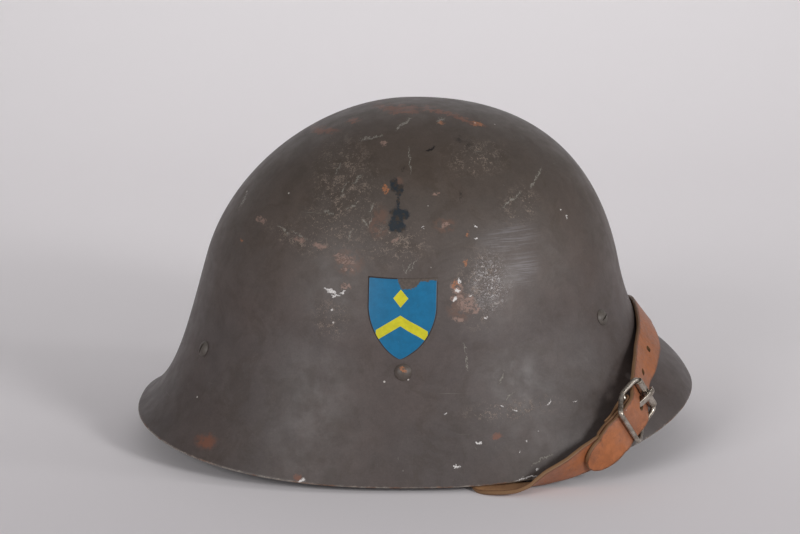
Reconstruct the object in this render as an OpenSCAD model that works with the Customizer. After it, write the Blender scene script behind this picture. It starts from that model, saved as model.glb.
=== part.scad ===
// Steel helmet with a leather liner and a chin strap stowed round the visor
// +X is the front, +Y the wearer's left, +Z up, and the strap's lowest point lies at z = 0

/* [Shell] */
// Height of the crown above the rim at the ears
crown_h = 175.5; // [174:0.5:177]
// Thickness of the pressed steel
shell_t = 1.1; // [1.0:0.05:1.2]
// Reach of the visor's rim ahead of the middle
visor_reach = 149; // [148:0.5:150]
// Height of the visor's rim
visor_z = 25.3; // [24.5:0.1:26]
// Droop of the visor's rim, from upright
visor_angle = 28.4; // [27:0.2:30]
// Reach of the crown's front wall
brow_reach = 109; // [108.5:0.25:109.5]
// Half width of the rim at the ears
ear_half_w = 122; // [121:0.5:123]
// Half width of the crown's side wall
temple_half_w = 103; // [102.5:0.25:103.5]
// Reach of the neck guard's rim behind the middle
neck_reach = 149; // [148:0.5:150]
// Height of the neck guard's rim
neck_z = 14; // [13.5:0.1:14.5]
// Reach of the crown's rear wall
nape_reach = 110.5; // [110:0.25:111]

/* [Liner] */
// Gap between the shell's outer face and the liner band
band_depth = 7.5; // [7.2:0.1:7.8]
// Thickness of the liner band
band_t = 0.9; // [0.8:0.05:1.0]
// Height of the liner band
band_h = 22; // [21:0.5:23]
// Height of the band's middle line above the rim
band_z = 62.4; // [62:0.2:63]
// Rise of the band towards the front, for each millimetre
band_slope = 0.081; // [0.078:0.001:0.084]
// Thickness of the liner's leather
leather_t = 1.8; // [1.6:0.1:2.0]
// Number of crown tongues
tongues = 8; // [6:1:9]
// Height of the crown opening's edge above the rim
crown_gap_z = 132; // [130:0.5:134]
// Radius of the opening between the tongue tips
crown_gap_r = 28; // [26:0.5:30]
// Diameter of the draw lace
lace_d = 2.4; // [2.2:0.1:2.6]
// Number of rivets that hold the leather to the band
liner_rivets_n = 12; // [10:1:14]

/* [Chin strap] */
// Width of the strap
strap_w = 18; // [17:0.25:18.5]
// Thickness of the strap
strap_t = 2.2; // [2.1:0.05:2.3]
// Thickness of the strap where it is skived and folded back
fold_t = 1.6; // [1.4:0.05:1.7]
// Spacing of the strap's holes
hole_pitch = 22.5; // [22:0.25:23]
// Number of holes in the long strap
holes_n = 3; // [3:1:5]
// Width of a hole
hole_w = 3; // [2.8:0.1:3.2]

/* [Strap fittings] */
// Diameter of the strap rivet's head
strap_rivet_head = 8.6; // [8:0.2:9]
// Diameter of the strap rivet's shank
strap_rivet_d = 4; // [3.6:0.1:4.4]
// Width of the lug
lug_w = 12; // [11:0.5:13]
// Thickness of the lug's plate
lug_t = 1.2; // [1.1:0.05:1.3]
// Distance from the rivet to the lug's eye
lug_reach = 17; // [16.5:0.25:17.5]
// Diameter of the bail's wire
bail_wire = 2.8; // [2.6:0.1:2.9]
// Distance between the bail's two cross wires
bail_h = 9.15; // [9:0.05:9.3]
// Free width inside the bail
bail_gap = 20; // [19.5:0.25:21]

/* [Buckle] */
// Diameter of the frame's wire
frame_wire = 2.6; // [2.4:0.1:2.8]
// Diameter of the centre bar and of the bar under the roller
bar_d = 2.4; // [2.2:0.1:2.5]
// Distance from the centre bar to each end bar
frame_reach = 12; // [11.8:0.1:12.4]
// Half width of the frame at its end bars, to the middle of the wire
frame_half_w = 10.7; // [10.5:0.1:11]
// Bow of the frame's sides at the centre bar
frame_bow = 1; // [0.6:0.1:1.4]
// Outer diameter of the roller
roller_d = 4.4; // [4.2:0.1:4.5]
// Width of the prong
prong_w = 3; // [2.6:0.1:3.2]
// Thickness of the prong
prong_t = 1.6; // [1.4:0.1:1.7]

/* [Fasteners] */
// Diameter of a liner screw
screw_d = 4; // [3.8:0.1:4.2]
// Diameter of a liner screw's head
screw_head = 8.4; // [8:0.2:9]
// Width across the flats of a liner nut
nut_flats = 7; // [6.8:0.1:7.2]
// Height of a liner nut
nut_h = 3.2; // [3:0.1:3.4]
// Thickness of the rivet washers
washer_t = 0.8; // [0.7:0.05:0.9]

/* [Hidden] */
$fn = 40;

// Clearances: a seated pair, a soft piece beside its neighbour, a turning fit and a screw in its hole
seat_gap = 0.05;
soft_gap = 0.3;
turn_gap = 0.05;
hole_gap = 0.2;

// Profile of each quarter, from the crown to the rim
// [wall reach, wall height, wall angle, crown pull, wall pull, rim reach, rim height, rim angle, flare pulls]
front_profile = [brow_reach, 90, 11.3, 63, 55.5, visor_reach, visor_z, visor_angle, 0.64, 0.32];
side_profile = [temple_half_w, 60, 6, 60, 70, ear_half_w, 0, 22, 0.3, 0.3];
rear_profile = [nape_reach, 94.5, 16.6, 50, 45.6, neck_reach, neck_z, 65, 0.42, 0.25];
// Squareness of the plan at the crown and at the rim, where 2 is an ellipse
crown_square = 2.15;
rim_square = 2.4;

function unit(v) = v / norm(v);
function mix(a, b, t) = a + (b - a) * t;

// Point of a cubic curve
function cubic(a, b, c, d, t) =
  pow(1 - t, 3) * a + 3 * t * pow(1 - t, 2) * b + 3 * t * t * (1 - t) * c + t * t * t * d;

// Point [reach, height] of a profile: ring 0 is the crown, 1 the wall and 2 the rim
function profile_point(m, ring) =
  let (
    top = [0, crown_h],
    wall = [m[0], m[1]],
    wall_way = [sin(m[2]), -cos(m[2])],
    rim = [m[5], m[6]],
    rim_way = [sin(m[7]), -cos(m[7])],
    span = norm(rim - wall)
  )
  ring <= 1
    ? cubic(top, top + [m[3], 0], wall - wall_way * m[4], wall, ring)
    : cubic(wall, wall + wall_way * m[8] * span, rim - rim_way * m[9] * span, rim, ring - 1);

// Point of the shell's outer face at an azimuth from the front and a ring
function shell_point(az, ring) =
  let (
    c = cos(az),
    s = sin(az),
    lengthwise = profile_point(c >= 0 ? front_profile : rear_profile, ring),
    sideways = profile_point(side_profile, ring),
    power = 2 / mix(crown_square, rim_square, max(0, ring - 1))
  )
  [
    lengthwise[0] * sign(c) * pow(abs(c), power),
    sideways[0] * sign(s) * pow(abs(s), power),
    lengthwise[1] * c * c + sideways[1] * s * s
  ];

// Outward direction of the shell's face
function shell_normal(az, ring) =
  let (
    round_way = shell_point(az + 0.5, ring) - shell_point(az - 0.5, ring),
    down_way = shell_point(az, min(ring + 0.01, 2)) - shell_point(az, ring - 0.01)
  )
  unit(cross(down_way, round_way));

// Point at a depth under the shell's outer face
function under_shell(az, ring, depth) = shell_point(az, ring) - shell_normal(az, ring) * depth;

// Ring at which the shell crosses the band's plane moved up by h, found by halving
function band_ring(az, h, low = 0.7, high = 1.85, n = 16) =
  let (middle = (low + high) / 2, p = shell_point(az, middle))
  n == 0 ? middle
  : p[2] - band_slope * p[0] > band_z + h
    ? band_ring(az, h, middle, high, n - 1)
    : band_ring(az, h, low, middle, n - 1);

// Seat of a piece: [origin, outward normal, turn of its x axis from the level line]
function shell_seat(az, ring, turn) = [shell_point(az, ring), shell_normal(az, ring), turn];
function level_way(n) = unit([-n[1], n[0], 0]);
function seat_x(seat) =
  level_way(seat[1]) * cos(seat[2]) + cross(seat[1], level_way(seat[1])) * sin(seat[2]);
function seat_y(seat) = cross(seat[1], seat_x(seat));
function from_seat(seat, p) = seat[0] + seat_x(seat) * p[0] + seat_y(seat) * p[1] + seat[1] * p[2];

// The same seat on the other side, for pieces that are round about its normal
function opposite(seat) = [[seat[0][0], -seat[0][1], seat[0][2]], [seat[1][0], -seat[1][1], seat[1][2]], 0];

// Places its children on a seat, their z axis along its normal
module on(seat) {
  translate(seat[0])
    rotate([0, acos(seat[1][2]), atan2(seat[1][1], seat[1][0])])
      rotate([0, 0, 90 + seat[2]])
        children();
}

// Strap sections are [x, y, z, face x, face y, face z, half thickness, half width]
function spot(s) = [s[0], s[1], s[2]];
function facing(s) = [s[3], s[4], s[5]];
function flip(s) = [s[0], -s[1], s[2], s[3], -s[4], s[5], s[6], s[7]];
function section(p, face, half_t = strap_t / 2, half_w = strap_w / 2) = concat(p, face, [half_t, half_w]);
function reversed(list) = [for (i = [len(list) - 1:-1:0]) list[i]];

// Section on the left side from [azimuth, ring, stand-off, drop, lean of the face]
function stowed(s) =
  let (n = shell_normal(s[0], s[1]), out = unit([n[0], n[1], 0]))
  section(shell_point(s[0], s[1]) + out * s[2] - [0, 0, s[3]], out * cos(s[4]) + [0, 0, sin(s[4])]);

// Section in a seat's own axes from [along, across, height, face along, face across, face height]
function seated(seat, s, half_t = strap_t / 2, half_w = strap_w / 2) =
  section(
    from_seat(seat, s),
    seat_x(seat) * s[3] + seat_y(seat) * s[4] + seat[1] * s[5],
    half_t,
    half_w
  );

// Smooth path through its sections
function smooth_step(a, b, c, d, t) =
  (2 * b + (c - a) * t + (2 * a - 5 * b + 4 * c - d) * t * t + (3 * b - a - 3 * c + d) * t * t * t) / 2;
function smooth(path, steps) =
  let (last = len(path) - 1)
  [
    for (i = [0:last - 1]) for (k = [0:steps - 1])
      smooth_step(path[max(i - 1, 0)], path[i], path[i + 1], path[min(i + 2, last)], k / steps),
    path[last]
  ];

// Direction of a path at one section, and its section and direction at a length from the start
function path_way(path, i) = unit(spot(path[min(i + 1, len(path) - 1)]) - spot(path[max(i - 1, 0)]));
function walk(path, length, i = 0) =
  let (step = norm(spot(path[i + 1]) - spot(path[i])))
  length <= step || i == len(path) - 2
    ? [mix(path[i], path[i + 1], length / step), unit(spot(path[i + 1]) - spot(path[i]))]
    : walk(path, length - step, i + 1);
function square_face(face, way) = unit(face - way * (way * face));
function walk_seat(path, length) =
  let (
    stop = walk(path, length),
    normal = square_face(facing(stop[0]), stop[1]),
    level = level_way(normal)
  )
  [spot(stop[0]), normal, atan2(stop[1] * cross(normal, level), stop[1] * level)];

// Corners of a strap's section: a flat bar with its edges cut back and a point along each wide face
strap_edge = 0.5;
function strap_corners(half_t, half_w) =
  let (t = half_t, w = half_w, e = min(strap_edge, half_w / 2))
  [
    [w, e - t], [w, t - e], [w - e, t], [0, t], [e - w, t],
    [-w, t - e], [-w, e - t], [e - w, -t], [0, -t], [w - e, -t]
  ];
function strap_rings(path) =
  [
    for (i = [0:len(path) - 1])
      let (
        way = path_way(path, i),
        face = square_face(facing(path[i]), way),
        across = cross(way, face)
      )
      [for (c = strap_corners(path[i][6], path[i][7])) spot(path[i]) + across * c[0] + face * c[1]]
  ];

// Closed solid through rings of points: looped joins the last ring to the first,
// tips closes the two ends to a point each, and otherwise flat ends close it
module skin(rings, looped = false, tips = []) {
  n = len(rings[0]);
  m = len(rings);
  spans = looped ? m : m - 1;
  sides = [
    for (i = [0:spans - 1]) for (k = [0:n - 1])
      let (a = i * n + k, b = i * n + (k + 1) % n, c = ((i + 1) % m) * n + (k + 1) % n, d = ((i + 1) % m) * n + k)
      each [[a, b, c], [a, c, d]]
  ];
  flats = [[for (k = [n - 1:-1:0]) k], [for (k = [0:n - 1]) (m - 1) * n + k]];
  fans = [
    for (k = [0:n - 1])
      each [[n * m, (k + 1) % n, k], [n * m + 1, (m - 1) * n + k, (m - 1) * n + (k + 1) % n]]
  ];
  ends = looped ? [] : len(tips) == 2 ? fans : flats;
  polyhedron(concat([for (r = rings) each r], tips), concat(sides, ends), convexity = 10);
}

// Stowed strap on the left: the front, the side without a buckle, and the rim down to its turn
front_stations = [
  [0, 1.311, 3.0, 0, 36], [8, 1.334, 3.4, 0, 38], [16, 1.372, 4.4, 0, 38],
  [23, 1.414, 4.9, 0, 32], [29, 1.46, 6.0, 0, 26]
];
side_stations = [[34, 1.53, 5.4, 0, 23], [40, 1.64, 5.0, 0, 17], [45, 1.755, 5.4, 0, 12], [50, 1.835, 6.1, 0, 2]];
rim_stations = [
  [55, 1.875, 6.6, 0, -10], [60, 1.9, 7.0, 0, -24], [64, 1.935, 6.6, 0, -38], [68, 1.97, 5.1, 0, -52],
  [71.5, 2, 2.7, 1.4, -70], [74.5, 2, 1.0, 2.1, -86], [77, 2, -0.6, 2.2, -90], [78.6, 2, -3.0, 2.2, -92],
  [79.2, 2, -5.4, 1.4, -115], [79.4, 2, -6.4, -1.6, -165], [80.2, 2, -7.0, -5.0, -178]
];
front_run = [for (s = front_stations) stowed(s)];
side_run = [for (s = side_stations) stowed(s)];
rim_run = [for (s = rim_stations) stowed(s)];

// Strap rivet's place on the right and the lug's line towards the strap's turn
rivet_azimuth = 92.2;
rivet_ring = 1.11;
lug_swing = 39;
lug_seat = shell_seat(-rivet_azimuth, rivet_ring, lug_swing - 90);
// Heights along the lug's inward axis: plate, washer, rivet's clenched end, eye and lower cross wire
lug_top = shell_t + 0.4;
lug_bottom = lug_top + lug_t;
rivet_washer_top = lug_bottom + seat_gap;
clench_top = rivet_washer_top + washer_t + seat_gap;
clench_h = 1.2;
clench_d = [5, 6.6];
rivet_washer_d = 9;
strap_rivet_head_h = 2.2;
eye_wall = 1.2;
eye_bore_d = bail_wire + 2 * turn_gap;
eye_depth = lug_top + eye_bore_d / 2 + eye_wall;
bail_lean = 10.4;
low_wire = [lug_reach + bail_h * cos(bail_lean), eye_depth + bail_h * sin(bail_lean)];

// Strap end round the bail's lower cross wire, in the lug's axes
wire_room = 1.0;
end_loop_r = bail_wire / 2 + wire_room + fold_t / 2;
function lug_section(x, depth, face_x, face_y, face_depth, half_t = strap_t / 2) =
  seated(lug_seat, [x, 0, -depth, face_x, face_y, -face_depth], half_t);
end_lap = [[45, 0.1, 0.16], [41, 1.7, 0.12], [36, 3.3, 0.05]];
end_run = [[38, 5.2, 0.06], [45, 2.3, 0.16], [52, 0.4, 0.2]];
lug_end = concat(
  [for (p = end_lap) lug_section(p[0], p[1], 0, p[2], -1, fold_t / 2)],
  [
    for (a = [0:30:180])
      lug_section(
        low_wire[0] - end_loop_r * sin(a), low_wire[1] - end_loop_r * cos(a), -sin(a), 0, -cos(a), fold_t / 2
      )
  ],
  [for (p = end_run) lug_section(p[0], p[1], 0, -p[2], 1)]
);

// Buckle's seat at the middle of its centre bar, on the right
buckle_station = [43.8, 1.67, 10.5, 0, 9.7];
buckle_yaw = 15;
buckle_turn = 34.7;
buckle_origin = spot(flip(stowed(buckle_station)));
buckle_normal =
  let (n = facing(flip(stowed(buckle_station))), a = atan2(n[1], n[0]) + buckle_yaw, level = norm([n[0], n[1]]))
  [level * cos(a), level * sin(a), n[2]];
buckle_seat = [buckle_origin, buckle_normal, buckle_turn];
// Heights of the bars over the centre bar
roller_bar_z = 2.4;
tail_bar_z = 4.9;
roller_bore_d = bar_d + 2 * turn_gap;
prong_bore_d = bar_d + 2 * turn_gap;
prong_eye_d = 4.6;
fold_r = bar_d / 2 + turn_gap + fold_t / 2;

// Short strap's fold round the centre bar, in the buckle's axes
fold_main = [[-20, 0.2, -2.0, 0.12], [-16, 0.1, -1.0, 0.06], [-12, 0, -0.1, 0.02], [-6, 0, 1.3, 0]];
fold_lap = [[-6, 0, -2.3], [-11, 0, -2.3], [-16, 0.1, -3.7]];
function on_buckle(x, y, z, face, half_t = strap_t / 2) =
  seated(buckle_seat, [x, y, z, face[0], face[1], face[2]], half_t);
buckle_end = concat(
  [for (p = fold_main) on_buckle(p[0], p[1], p[2], [0, p[3], 1], p[0] < -15 ? strap_t / 2 : fold_t / 2)],
  [for (a = [0:30:180]) on_buckle(fold_r * sin(a), 0, fold_r * cos(a), [sin(a), 0, cos(a)], fold_t / 2)],
  [for (p = fold_lap) on_buckle(p[0], p[1], p[2], [0, 0, -1], fold_t / 2)]
);
short_path = smooth(concat(lug_end, [for (s = reversed(rim_run)) flip(s)], buckle_end), 2);

// Long strap's way through the buckle, from the front, in the buckle's axes
billet_lead = [[frame_reach + 20, -1.0, -10.6], [frame_reach + 10, -0.2, -6.0], [frame_reach + 5, 0, -3.4]];
billet_pass = [[frame_reach, 0, -1.4], [frame_reach - 4.5, 0, 0.6], [3, 0, 3.3], [0, 0, 4.2], [-4, 0, 4.0], [-8, 0, 3.1], [-12, 0, 2.2]];
// Its tail lies on the short strap, and narrows to a round tip
tail_gap = 0.85;
function laid_on(s, share) =
  section(spot(s) + facing(s) * (strap_t + tail_gap), facing(s), strap_t / 2, strap_w / 2 * share);
tail_base = concat([buckle_end[1], buckle_end[0]], [for (i = [0:1]) flip(rim_run[i])]);
tail_places = [[0, 1], [1, 1], [2, 1], [2.5, 0.97], [2.75, 0.85], [2.92, 0.6], [3, 0.3]];
long_front = concat(
  [for (s = lug_end) flip(s)],
  reversed(rim_run),
  reversed(side_run),
  reversed(front_run),
  [for (i = [1:len(front_run) - 1]) flip(front_run[i])]
);
billet = [for (p = concat(billet_lead, billet_pass)) on_buckle(p[0], p[1], p[2], [0, 0, 1])];
tail = [
  for (p = tail_places)
    let (i = floor(p[0]))
    laid_on(mix(tail_base[i], tail_base[min(i + 1, len(tail_base) - 1)], p[0] - i), p[1])
];
long_path = smooth(concat(long_front, billet, tail), 2);
// Part of the long strap from its used hole back towards the front
prong_hole_at = 1;
used_hole = 2 * (len(long_front) + len(billet_lead) + prong_hole_at);
hole_path = [for (i = [used_hole:-1:2 * len(lug_end)]) long_path[i]];

// The lowest point of the strap rests on the ground
lift = -min([for (r = strap_rings(short_path)) for (p = r) p[2]]);

module raised() {
  translate([0, 0, lift])
    children();
}

module other_side() {
  mirror([0, 1, 0])
    children();
}

// Round head with its flat face at z = 0
module dome_head(d, h) {
  r = (d * d / 4 + h * h) / (2 * h);
  intersection() {
    translate([0, 0, h - r])
      sphere(r = r, $fn = 64);
    cylinder(d = d, h = h);
  }
}

module ring_plate(outer_d, bore_d, h) {
  difference() {
    cylinder(d = outer_d, h = h);
    translate([0, 0, -1])
      cylinder(d = bore_d, h = h + 2);
  }
}

// Round bar between two points, with a slightly larger ball at its start
ball_swell = 0.4;
module wire(a, b, d) {
  way = b - a;
  translate(a) {
    sphere(d = d + ball_swell, $fn = 80);
    rotate([0, acos(way[2] / norm(way)), atan2(way[1], way[0])])
      cylinder(d = d, h = norm(way), $fn = 80);
  }
}

// Closed loop of wire through its corners
module wire_loop(corners, d) {
  for (i = [0:len(corners) - 1])
    wire(corners[i], corners[(i + 1) % len(corners)], d);
}

// Liner screws: azimuth of each, at the height of the band's middle line
screw_azimuths = [-32.6, 32.6, -151.8, 151.8];
screw_seats = [for (az = screw_azimuths) shell_seat(az, band_ring(az, 0), 0)];
band_inner = band_depth + band_t;
screw_hole_d = screw_d + 2 * hole_gap;
spacer_d = 8;
screw_head_h = 2;
// Room between a flat face and the curved sheet that it is seated on
curve_gap = 0.2;
nut_top = band_depth - curve_gap - nut_h;
screw_length = band_inner + 0.2;
slot_w = 1.2;
slot_depth = 1;

module shell() {
  azimuths = 64;
  rings = 25;
  function level(depth, i) =
    [for (k = [0:azimuths - 1]) under_shell(k * 360 / azimuths, i * 2 / rings, depth)];
  color("dimgray")
    raised()
      difference() {
        skin(
          concat([for (i = [1:rings]) level(0, i)], [for (i = [rings:-1:1]) level(shell_t, i)]),
          tips = [[0, 0, crown_h], [0, 0, crown_h - shell_t]]
        );
        for (seat = screw_seats)
          on(seat)
            cylinder(d = screw_hole_d, h = 6, center = true);
        for (seat = [lug_seat, opposite(lug_seat)])
          on(seat)
            cylinder(d = strap_rivet_d + 2 * hole_gap, h = 6, center = true);
      }
}

// Leather liner: its middle surface lies flat on the band from its lower edge (-1) to the seam's
// upper edge (0), and rises from there to the tongue tips (1)
leather_depth = band_inner + curve_gap + leather_t / 2;
seam_h = 9;
// The leather rises this much before it turns, and leans in more than the wall there
turn_h = 33;
turn_in = 18;
wall_clear = 5;
function wall_run(n) = turn_h * n[2] / norm([n[0], n[1]]);
function leather_point(az, t) =
  t < 0 ? under_shell(az, band_ring(az, seam_h * (1 + t) - band_h / 2), leather_depth) :
  let (
    foot = under_shell(az, band_ring(az, seam_h - band_h / 2), leather_depth),
    reach = norm([foot[0], foot[1]]),
    way = [foot[0], foot[1], 0] / reach,
    in = max(turn_in, wall_run(shell_normal(az, band_ring(az, seam_h - band_h / 2))) + wall_clear),
    p = cubic(
      [reach, foot[2]], [reach - in, foot[2] + turn_h], [reach - 32, crown_gap_z - 4], [crown_gap_r, crown_gap_z], t
    )
  )
  way * p[0] + [0, 0, p[1]];
function leather_normal(az, t) =
  unit(cross(
    leather_point(az, max(t - 0.01, -1)) - leather_point(az, min(t + 0.01, 1)),
    leather_point(az + 1, t) - leather_point(az - 1, t)
  ));
function leather_face(az, t, out) = leather_point(az, t) + leather_normal(az, t) * out;
// Share of the leather's rise at which it reaches a height, found by halving
function leather_rise(az, z, low = 0, high = 0.8, n = 12) =
  let (middle = (low + high) / 2)
  n == 0 ? middle
  : leather_point(az, middle)[2] < z
    ? leather_rise(az, z, middle, high, n - 1)
    : leather_rise(az, z, low, middle, n - 1);

// Tongues: where the slits start, how wide they are, and the lace's holes
slit_start = 0.46;
slit_narrow = 2.6;
slit_wide = 6;
lace_line = 0.93;
lace_hole_d = 5.6;
lace_hole_spread = 9;
lace_swing = 3.3;

// Liner rivets: azimuth of each and their place over the band's lower edge
liner_rivet_rise = seam_h / 2;
liner_rivet_seats = [
  for (i = [0:liner_rivets_n - 1])
    let (az = (i + 0.5) * 360 / liner_rivets_n)
    shell_seat(az, band_ring(az, liner_rivet_rise - band_h / 2), 0)
];
liner_rivet_d = 3;
liner_rivet_head = 6.4;
liner_rivet_reach = leather_depth + leather_t / 2 + curve_gap;

module liner_band() {
  azimuths = 72;
  heights = [band_h / 2, 0, -band_h / 2];
  color("darkgray")
    raised()
      difference() {
        skin([
          for (k = [0:azimuths - 1])
            let (az = k * 360 / azimuths, rings = [for (h = heights) band_ring(az, h)])
            concat(
              [for (i = [2:-1:0]) under_shell(az, rings[i], band_depth)],
              [for (i = [0:2]) under_shell(az, rings[i], band_inner)]
            )
        ], looped = true);
        for (seat = screw_seats)
          on(seat)
            translate([0, 0, -band_depth])
              cylinder(d = screw_hole_d, h = 6, center = true);
        for (seat = liner_rivet_seats)
          on(seat)
            translate([0, 0, -band_depth])
              cylinder(d = liner_rivet_d + 2 * hole_gap, h = 6, center = true);
      }
}

module band_spacers() {
  bottom = nut_top - seat_gap;
  color("gray")
    raised()
      for (seat = screw_seats)
        on(seat)
          translate([0, 0, -bottom])
            ring_plate(spacer_d, screw_hole_d, bottom - shell_t - curve_gap - seat_gap);
}

module liner_screws() {
  color("gray")
    raised()
      for (seat = screw_seats)
        on(seat)
          difference() {
            union() {
              translate([0, 0, curve_gap])
                dome_head(screw_head, screw_head_h);
              translate([0, 0, -screw_length])
                cylinder(d = screw_d, h = screw_length + 0.5);
            }
            translate([0, 0, curve_gap + screw_head_h - slot_depth + 2])
              cube([screw_head + 2, slot_w, 4], center = true);
          }
}

module liner_nuts() {
  color("gray")
    raised()
      for (seat = screw_seats)
        on(seat)
          translate([0, 0, -nut_top - nut_h])
            difference() {
              cylinder(d = nut_flats / cos(30), h = nut_h, $fn = 6);
              translate([0, 0, -1])
                cylinder(d = screw_d + 2 * seat_gap, h = nut_h + 2);
            }
}

module leather_liner() {
  azimuths = 56;
  rises = 11;
  function level(i, out) = [for (k = [0:azimuths - 1]) leather_face(k * 360 / azimuths, i / rises, out)];
  color("sienna")
    raised()
      difference() {
        skin(
          concat(
            [for (i = [rises:-1:0]) level(i, leather_t / 2), level(-rises, leather_t / 2)],
            [level(-rises, -leather_t / 2), for (i = [0:rises]) level(i, -leather_t / 2)]
          ),
          looped = true
        );
        for (i = [0:tongues - 1]) {
          az = (i + 0.5) * 360 / tongues;
          start = leather_point(az, slit_start);
          tip = leather_point(az, 1);
          rotate([0, 0, atan2(start[1], start[0])])
            translate([0, 0, start[2] - 30])
              linear_extrude(height = crown_h)
                polygon([
                  [norm([start[0], start[1]]), -slit_narrow / 2],
                  [norm([start[0], start[1]]), slit_narrow / 2],
                  [norm([tip[0], tip[1]]) - 5, slit_wide / 2],
                  [norm([tip[0], tip[1]]) - 5, -slit_wide / 2]
                ]);
        }
        for (i = [0:tongues - 1]) for (side = [-1, 1])
          translate(leather_point(i * 360 / tongues + side * lace_hole_spread, lace_line))
            cylinder(d = lace_hole_d, h = 12, center = true);
        for (seat = liner_rivet_seats)
          on(seat)
            translate([0, 0, -leather_depth])
              cylinder(d = liner_rivet_d + 2 * hole_gap, h = 8, center = true);
      }
}

module liner_rivets() {
  color("peru")
    raised()
      for (seat = liner_rivet_seats)
        on(seat) {
          translate([0, 0, 1.5 * curve_gap - band_depth])
            dome_head(liner_rivet_head, 1.4);
          translate([0, 0, -liner_rivet_reach])
            cylinder(d = liner_rivet_d, h = liner_rivet_reach - band_depth + 0.6);
          translate([0, 0, -liner_rivet_reach])
            rotate([180, 0, 0])
              dome_head(liner_rivet_head, 1);
        }
}

// Lace's middle line: over each tongue between its two holes and under the slit beside it
function lace_wave(a) =
  let (x = 3 * (cos(a * tongues) - cos(lace_hole_spread * tongues)))
  lace_swing * x / sqrt(1 + x * x);
function lace_point(az) = leather_point(az, lace_line) + [0, 0, lace_wave(az)];

module draw_lace() {
  rings = 80;
  sides = 8;
  knot = lace_point(180 / tongues);
  color("saddlebrown")
    raised() {
      skin([
        for (i = [0:rings - 1])
          let (
            az = i * 360 / rings,
            way = unit(lace_point(az + 1) - lace_point(az - 1)),
            out = unit(cross(way, cross([0, 0, 1], way)))
          )
          [
            for (k = [0:sides - 1])
              lace_point(az)
                + (cross(way, out) * cos(k * 360 / sides) + out * sin(k * 360 / sides)) * lace_d / 2
          ]
      ], looped = true);
      translate(knot) {
        sphere(d = 2.6 * lace_d);
        rotate([150, 0, 20])
          cylinder(d = lace_d, h = 16);
        rotate([165, 30, 0])
          cylinder(d = lace_d, h = 13);
      }
    }
}

// Felt pad between the band and the leather, over a range of azimuths
pad_foot = 3.5;
pad_overhang = 4;
module felt_pad(from, to) {
  steps = 8;
  rows = [for (i = [0:3]) mix(seam_h + pad_foot - band_h / 2, band_h / 2 + pad_overhang, i / 3)];
  color("beige")
    raised()
      skin([
        for (k = [0:steps])
          let (
            az = mix(from, to, k / steps),
            back = [for (h = rows) under_shell(az, band_ring(az, h), band_inner + soft_gap)],
            front = [for (p = back) leather_face(az, leather_rise(az, p[2]), leather_t / 2 + soft_gap)]
          )
          concat(back, reversed(front))
      ]);
}

module front_pad() {
  felt_pad(-25, 25);
}

module rear_pad() {
  felt_pad(161, 199);
}

module left_pad() {
  felt_pad(63, 117);
}

module right_pad() {
  felt_pad(-117, -63);
}

module strap_rivet() {
  color("dimgray")
    raised()
      on(lug_seat) {
        translate([0, 0, seat_gap])
          dome_head(strap_rivet_head, strap_rivet_head_h);
        translate([0, 0, -clench_top])
          cylinder(d = strap_rivet_d, h = clench_top + 0.5);
        translate([0, 0, -clench_top - clench_h])
          cylinder(d1 = clench_d[0], d2 = clench_d[1], h = clench_h);
      }
}

module rivet_washer() {
  color("silver")
    raised()
      on(lug_seat)
        translate([0, 0, -rivet_washer_top - washer_t])
          ring_plate(rivet_washer_d, strap_rivet_d + 2 * seat_gap, washer_t);
}

module lug() {
  color("gray")
    raised()
      on(lug_seat)
        difference() {
          union() {
            translate([0, 0, -lug_bottom]) {
              cylinder(d = lug_w, h = lug_t);
              translate([0, -lug_w / 2, 0])
                cube([lug_reach, lug_w, lug_t]);
            }
            translate([lug_reach, 0, -eye_depth])
              rotate([90, 0, 0])
                cylinder(d = eye_bore_d + 2 * eye_wall, h = lug_w, center = true);
          }
          translate([lug_reach, 0, -eye_depth])
            rotate([90, 0, 0])
              cylinder(d = eye_bore_d, h = lug_w + 2, center = true);
          translate([0, 0, -lug_bottom - 1])
            cylinder(d = strap_rivet_d + 2 * seat_gap, h = lug_t + 2);
        }
}

module bail() {
  half = (bail_gap + bail_wire) / 2;
  color("lightgray")
    raised()
      on(lug_seat)
        wire_loop([
          [lug_reach, -half, -eye_depth], [lug_reach, half, -eye_depth],
          [low_wire[0], half, -low_wire[1]], [low_wire[0], -half, -low_wire[1]]
        ], bail_wire);
}

// Copper rivet through the two layers of a strap end beside its bail
end_rivet_seat =
  let (
    near = lug_end[len(end_lap) + 7],
    far = lug_end[len(end_lap) + 8],
    normal = square_face(mix(facing(near), facing(far), 0.5), unit(spot(far) - spot(near)))
  )
  [mix(spot(near), spot(far), 0.5), normal, 0];
end_rivet_d = 2.4;
end_rivet_reach = 3.4;
end_rivet_head = 6;
end_rivet_head_h = 1.2;

module strap_end_hole(seat) {
  on(seat)
    cylinder(d = end_rivet_d + 2 * seat_gap, h = 9, center = true);
}

module strap_end_rivets() {
  color("peru")
    raised()
      for (seat = [end_rivet_seat, opposite(end_rivet_seat)])
        on(seat) {
          translate([0, 0, strap_t / 2 + soft_gap])
            dome_head(end_rivet_head, end_rivet_head_h);
          translate([0, 0, strap_t / 2 + 0.5 - end_rivet_reach])
            cylinder(d = end_rivet_d, h = end_rivet_reach);
        }
}

module short_chin_strap() {
  color("peru")
    raised()
      difference() {
        skin(strap_rings(short_path));
        on(buckle_seat)
          cube([9, prong_w + 1, 12], center = true);
        strap_end_hole(end_rivet_seat);
      }
}

module long_chin_strap() {
  color("peru")
    raised()
      difference() {
        skin(strap_rings(long_path));
        for (i = [1:holes_n - 1])
          on(walk_seat(hole_path, i * hole_pitch))
            cylinder(d = hole_w, h = 6, center = true);
        on(buckle_seat)
          translate([5, 0, 2])
            cube([9, prong_w + 0.6, 12], center = true);
        strap_end_hole(opposite(end_rivet_seat));
      }
}

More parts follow.
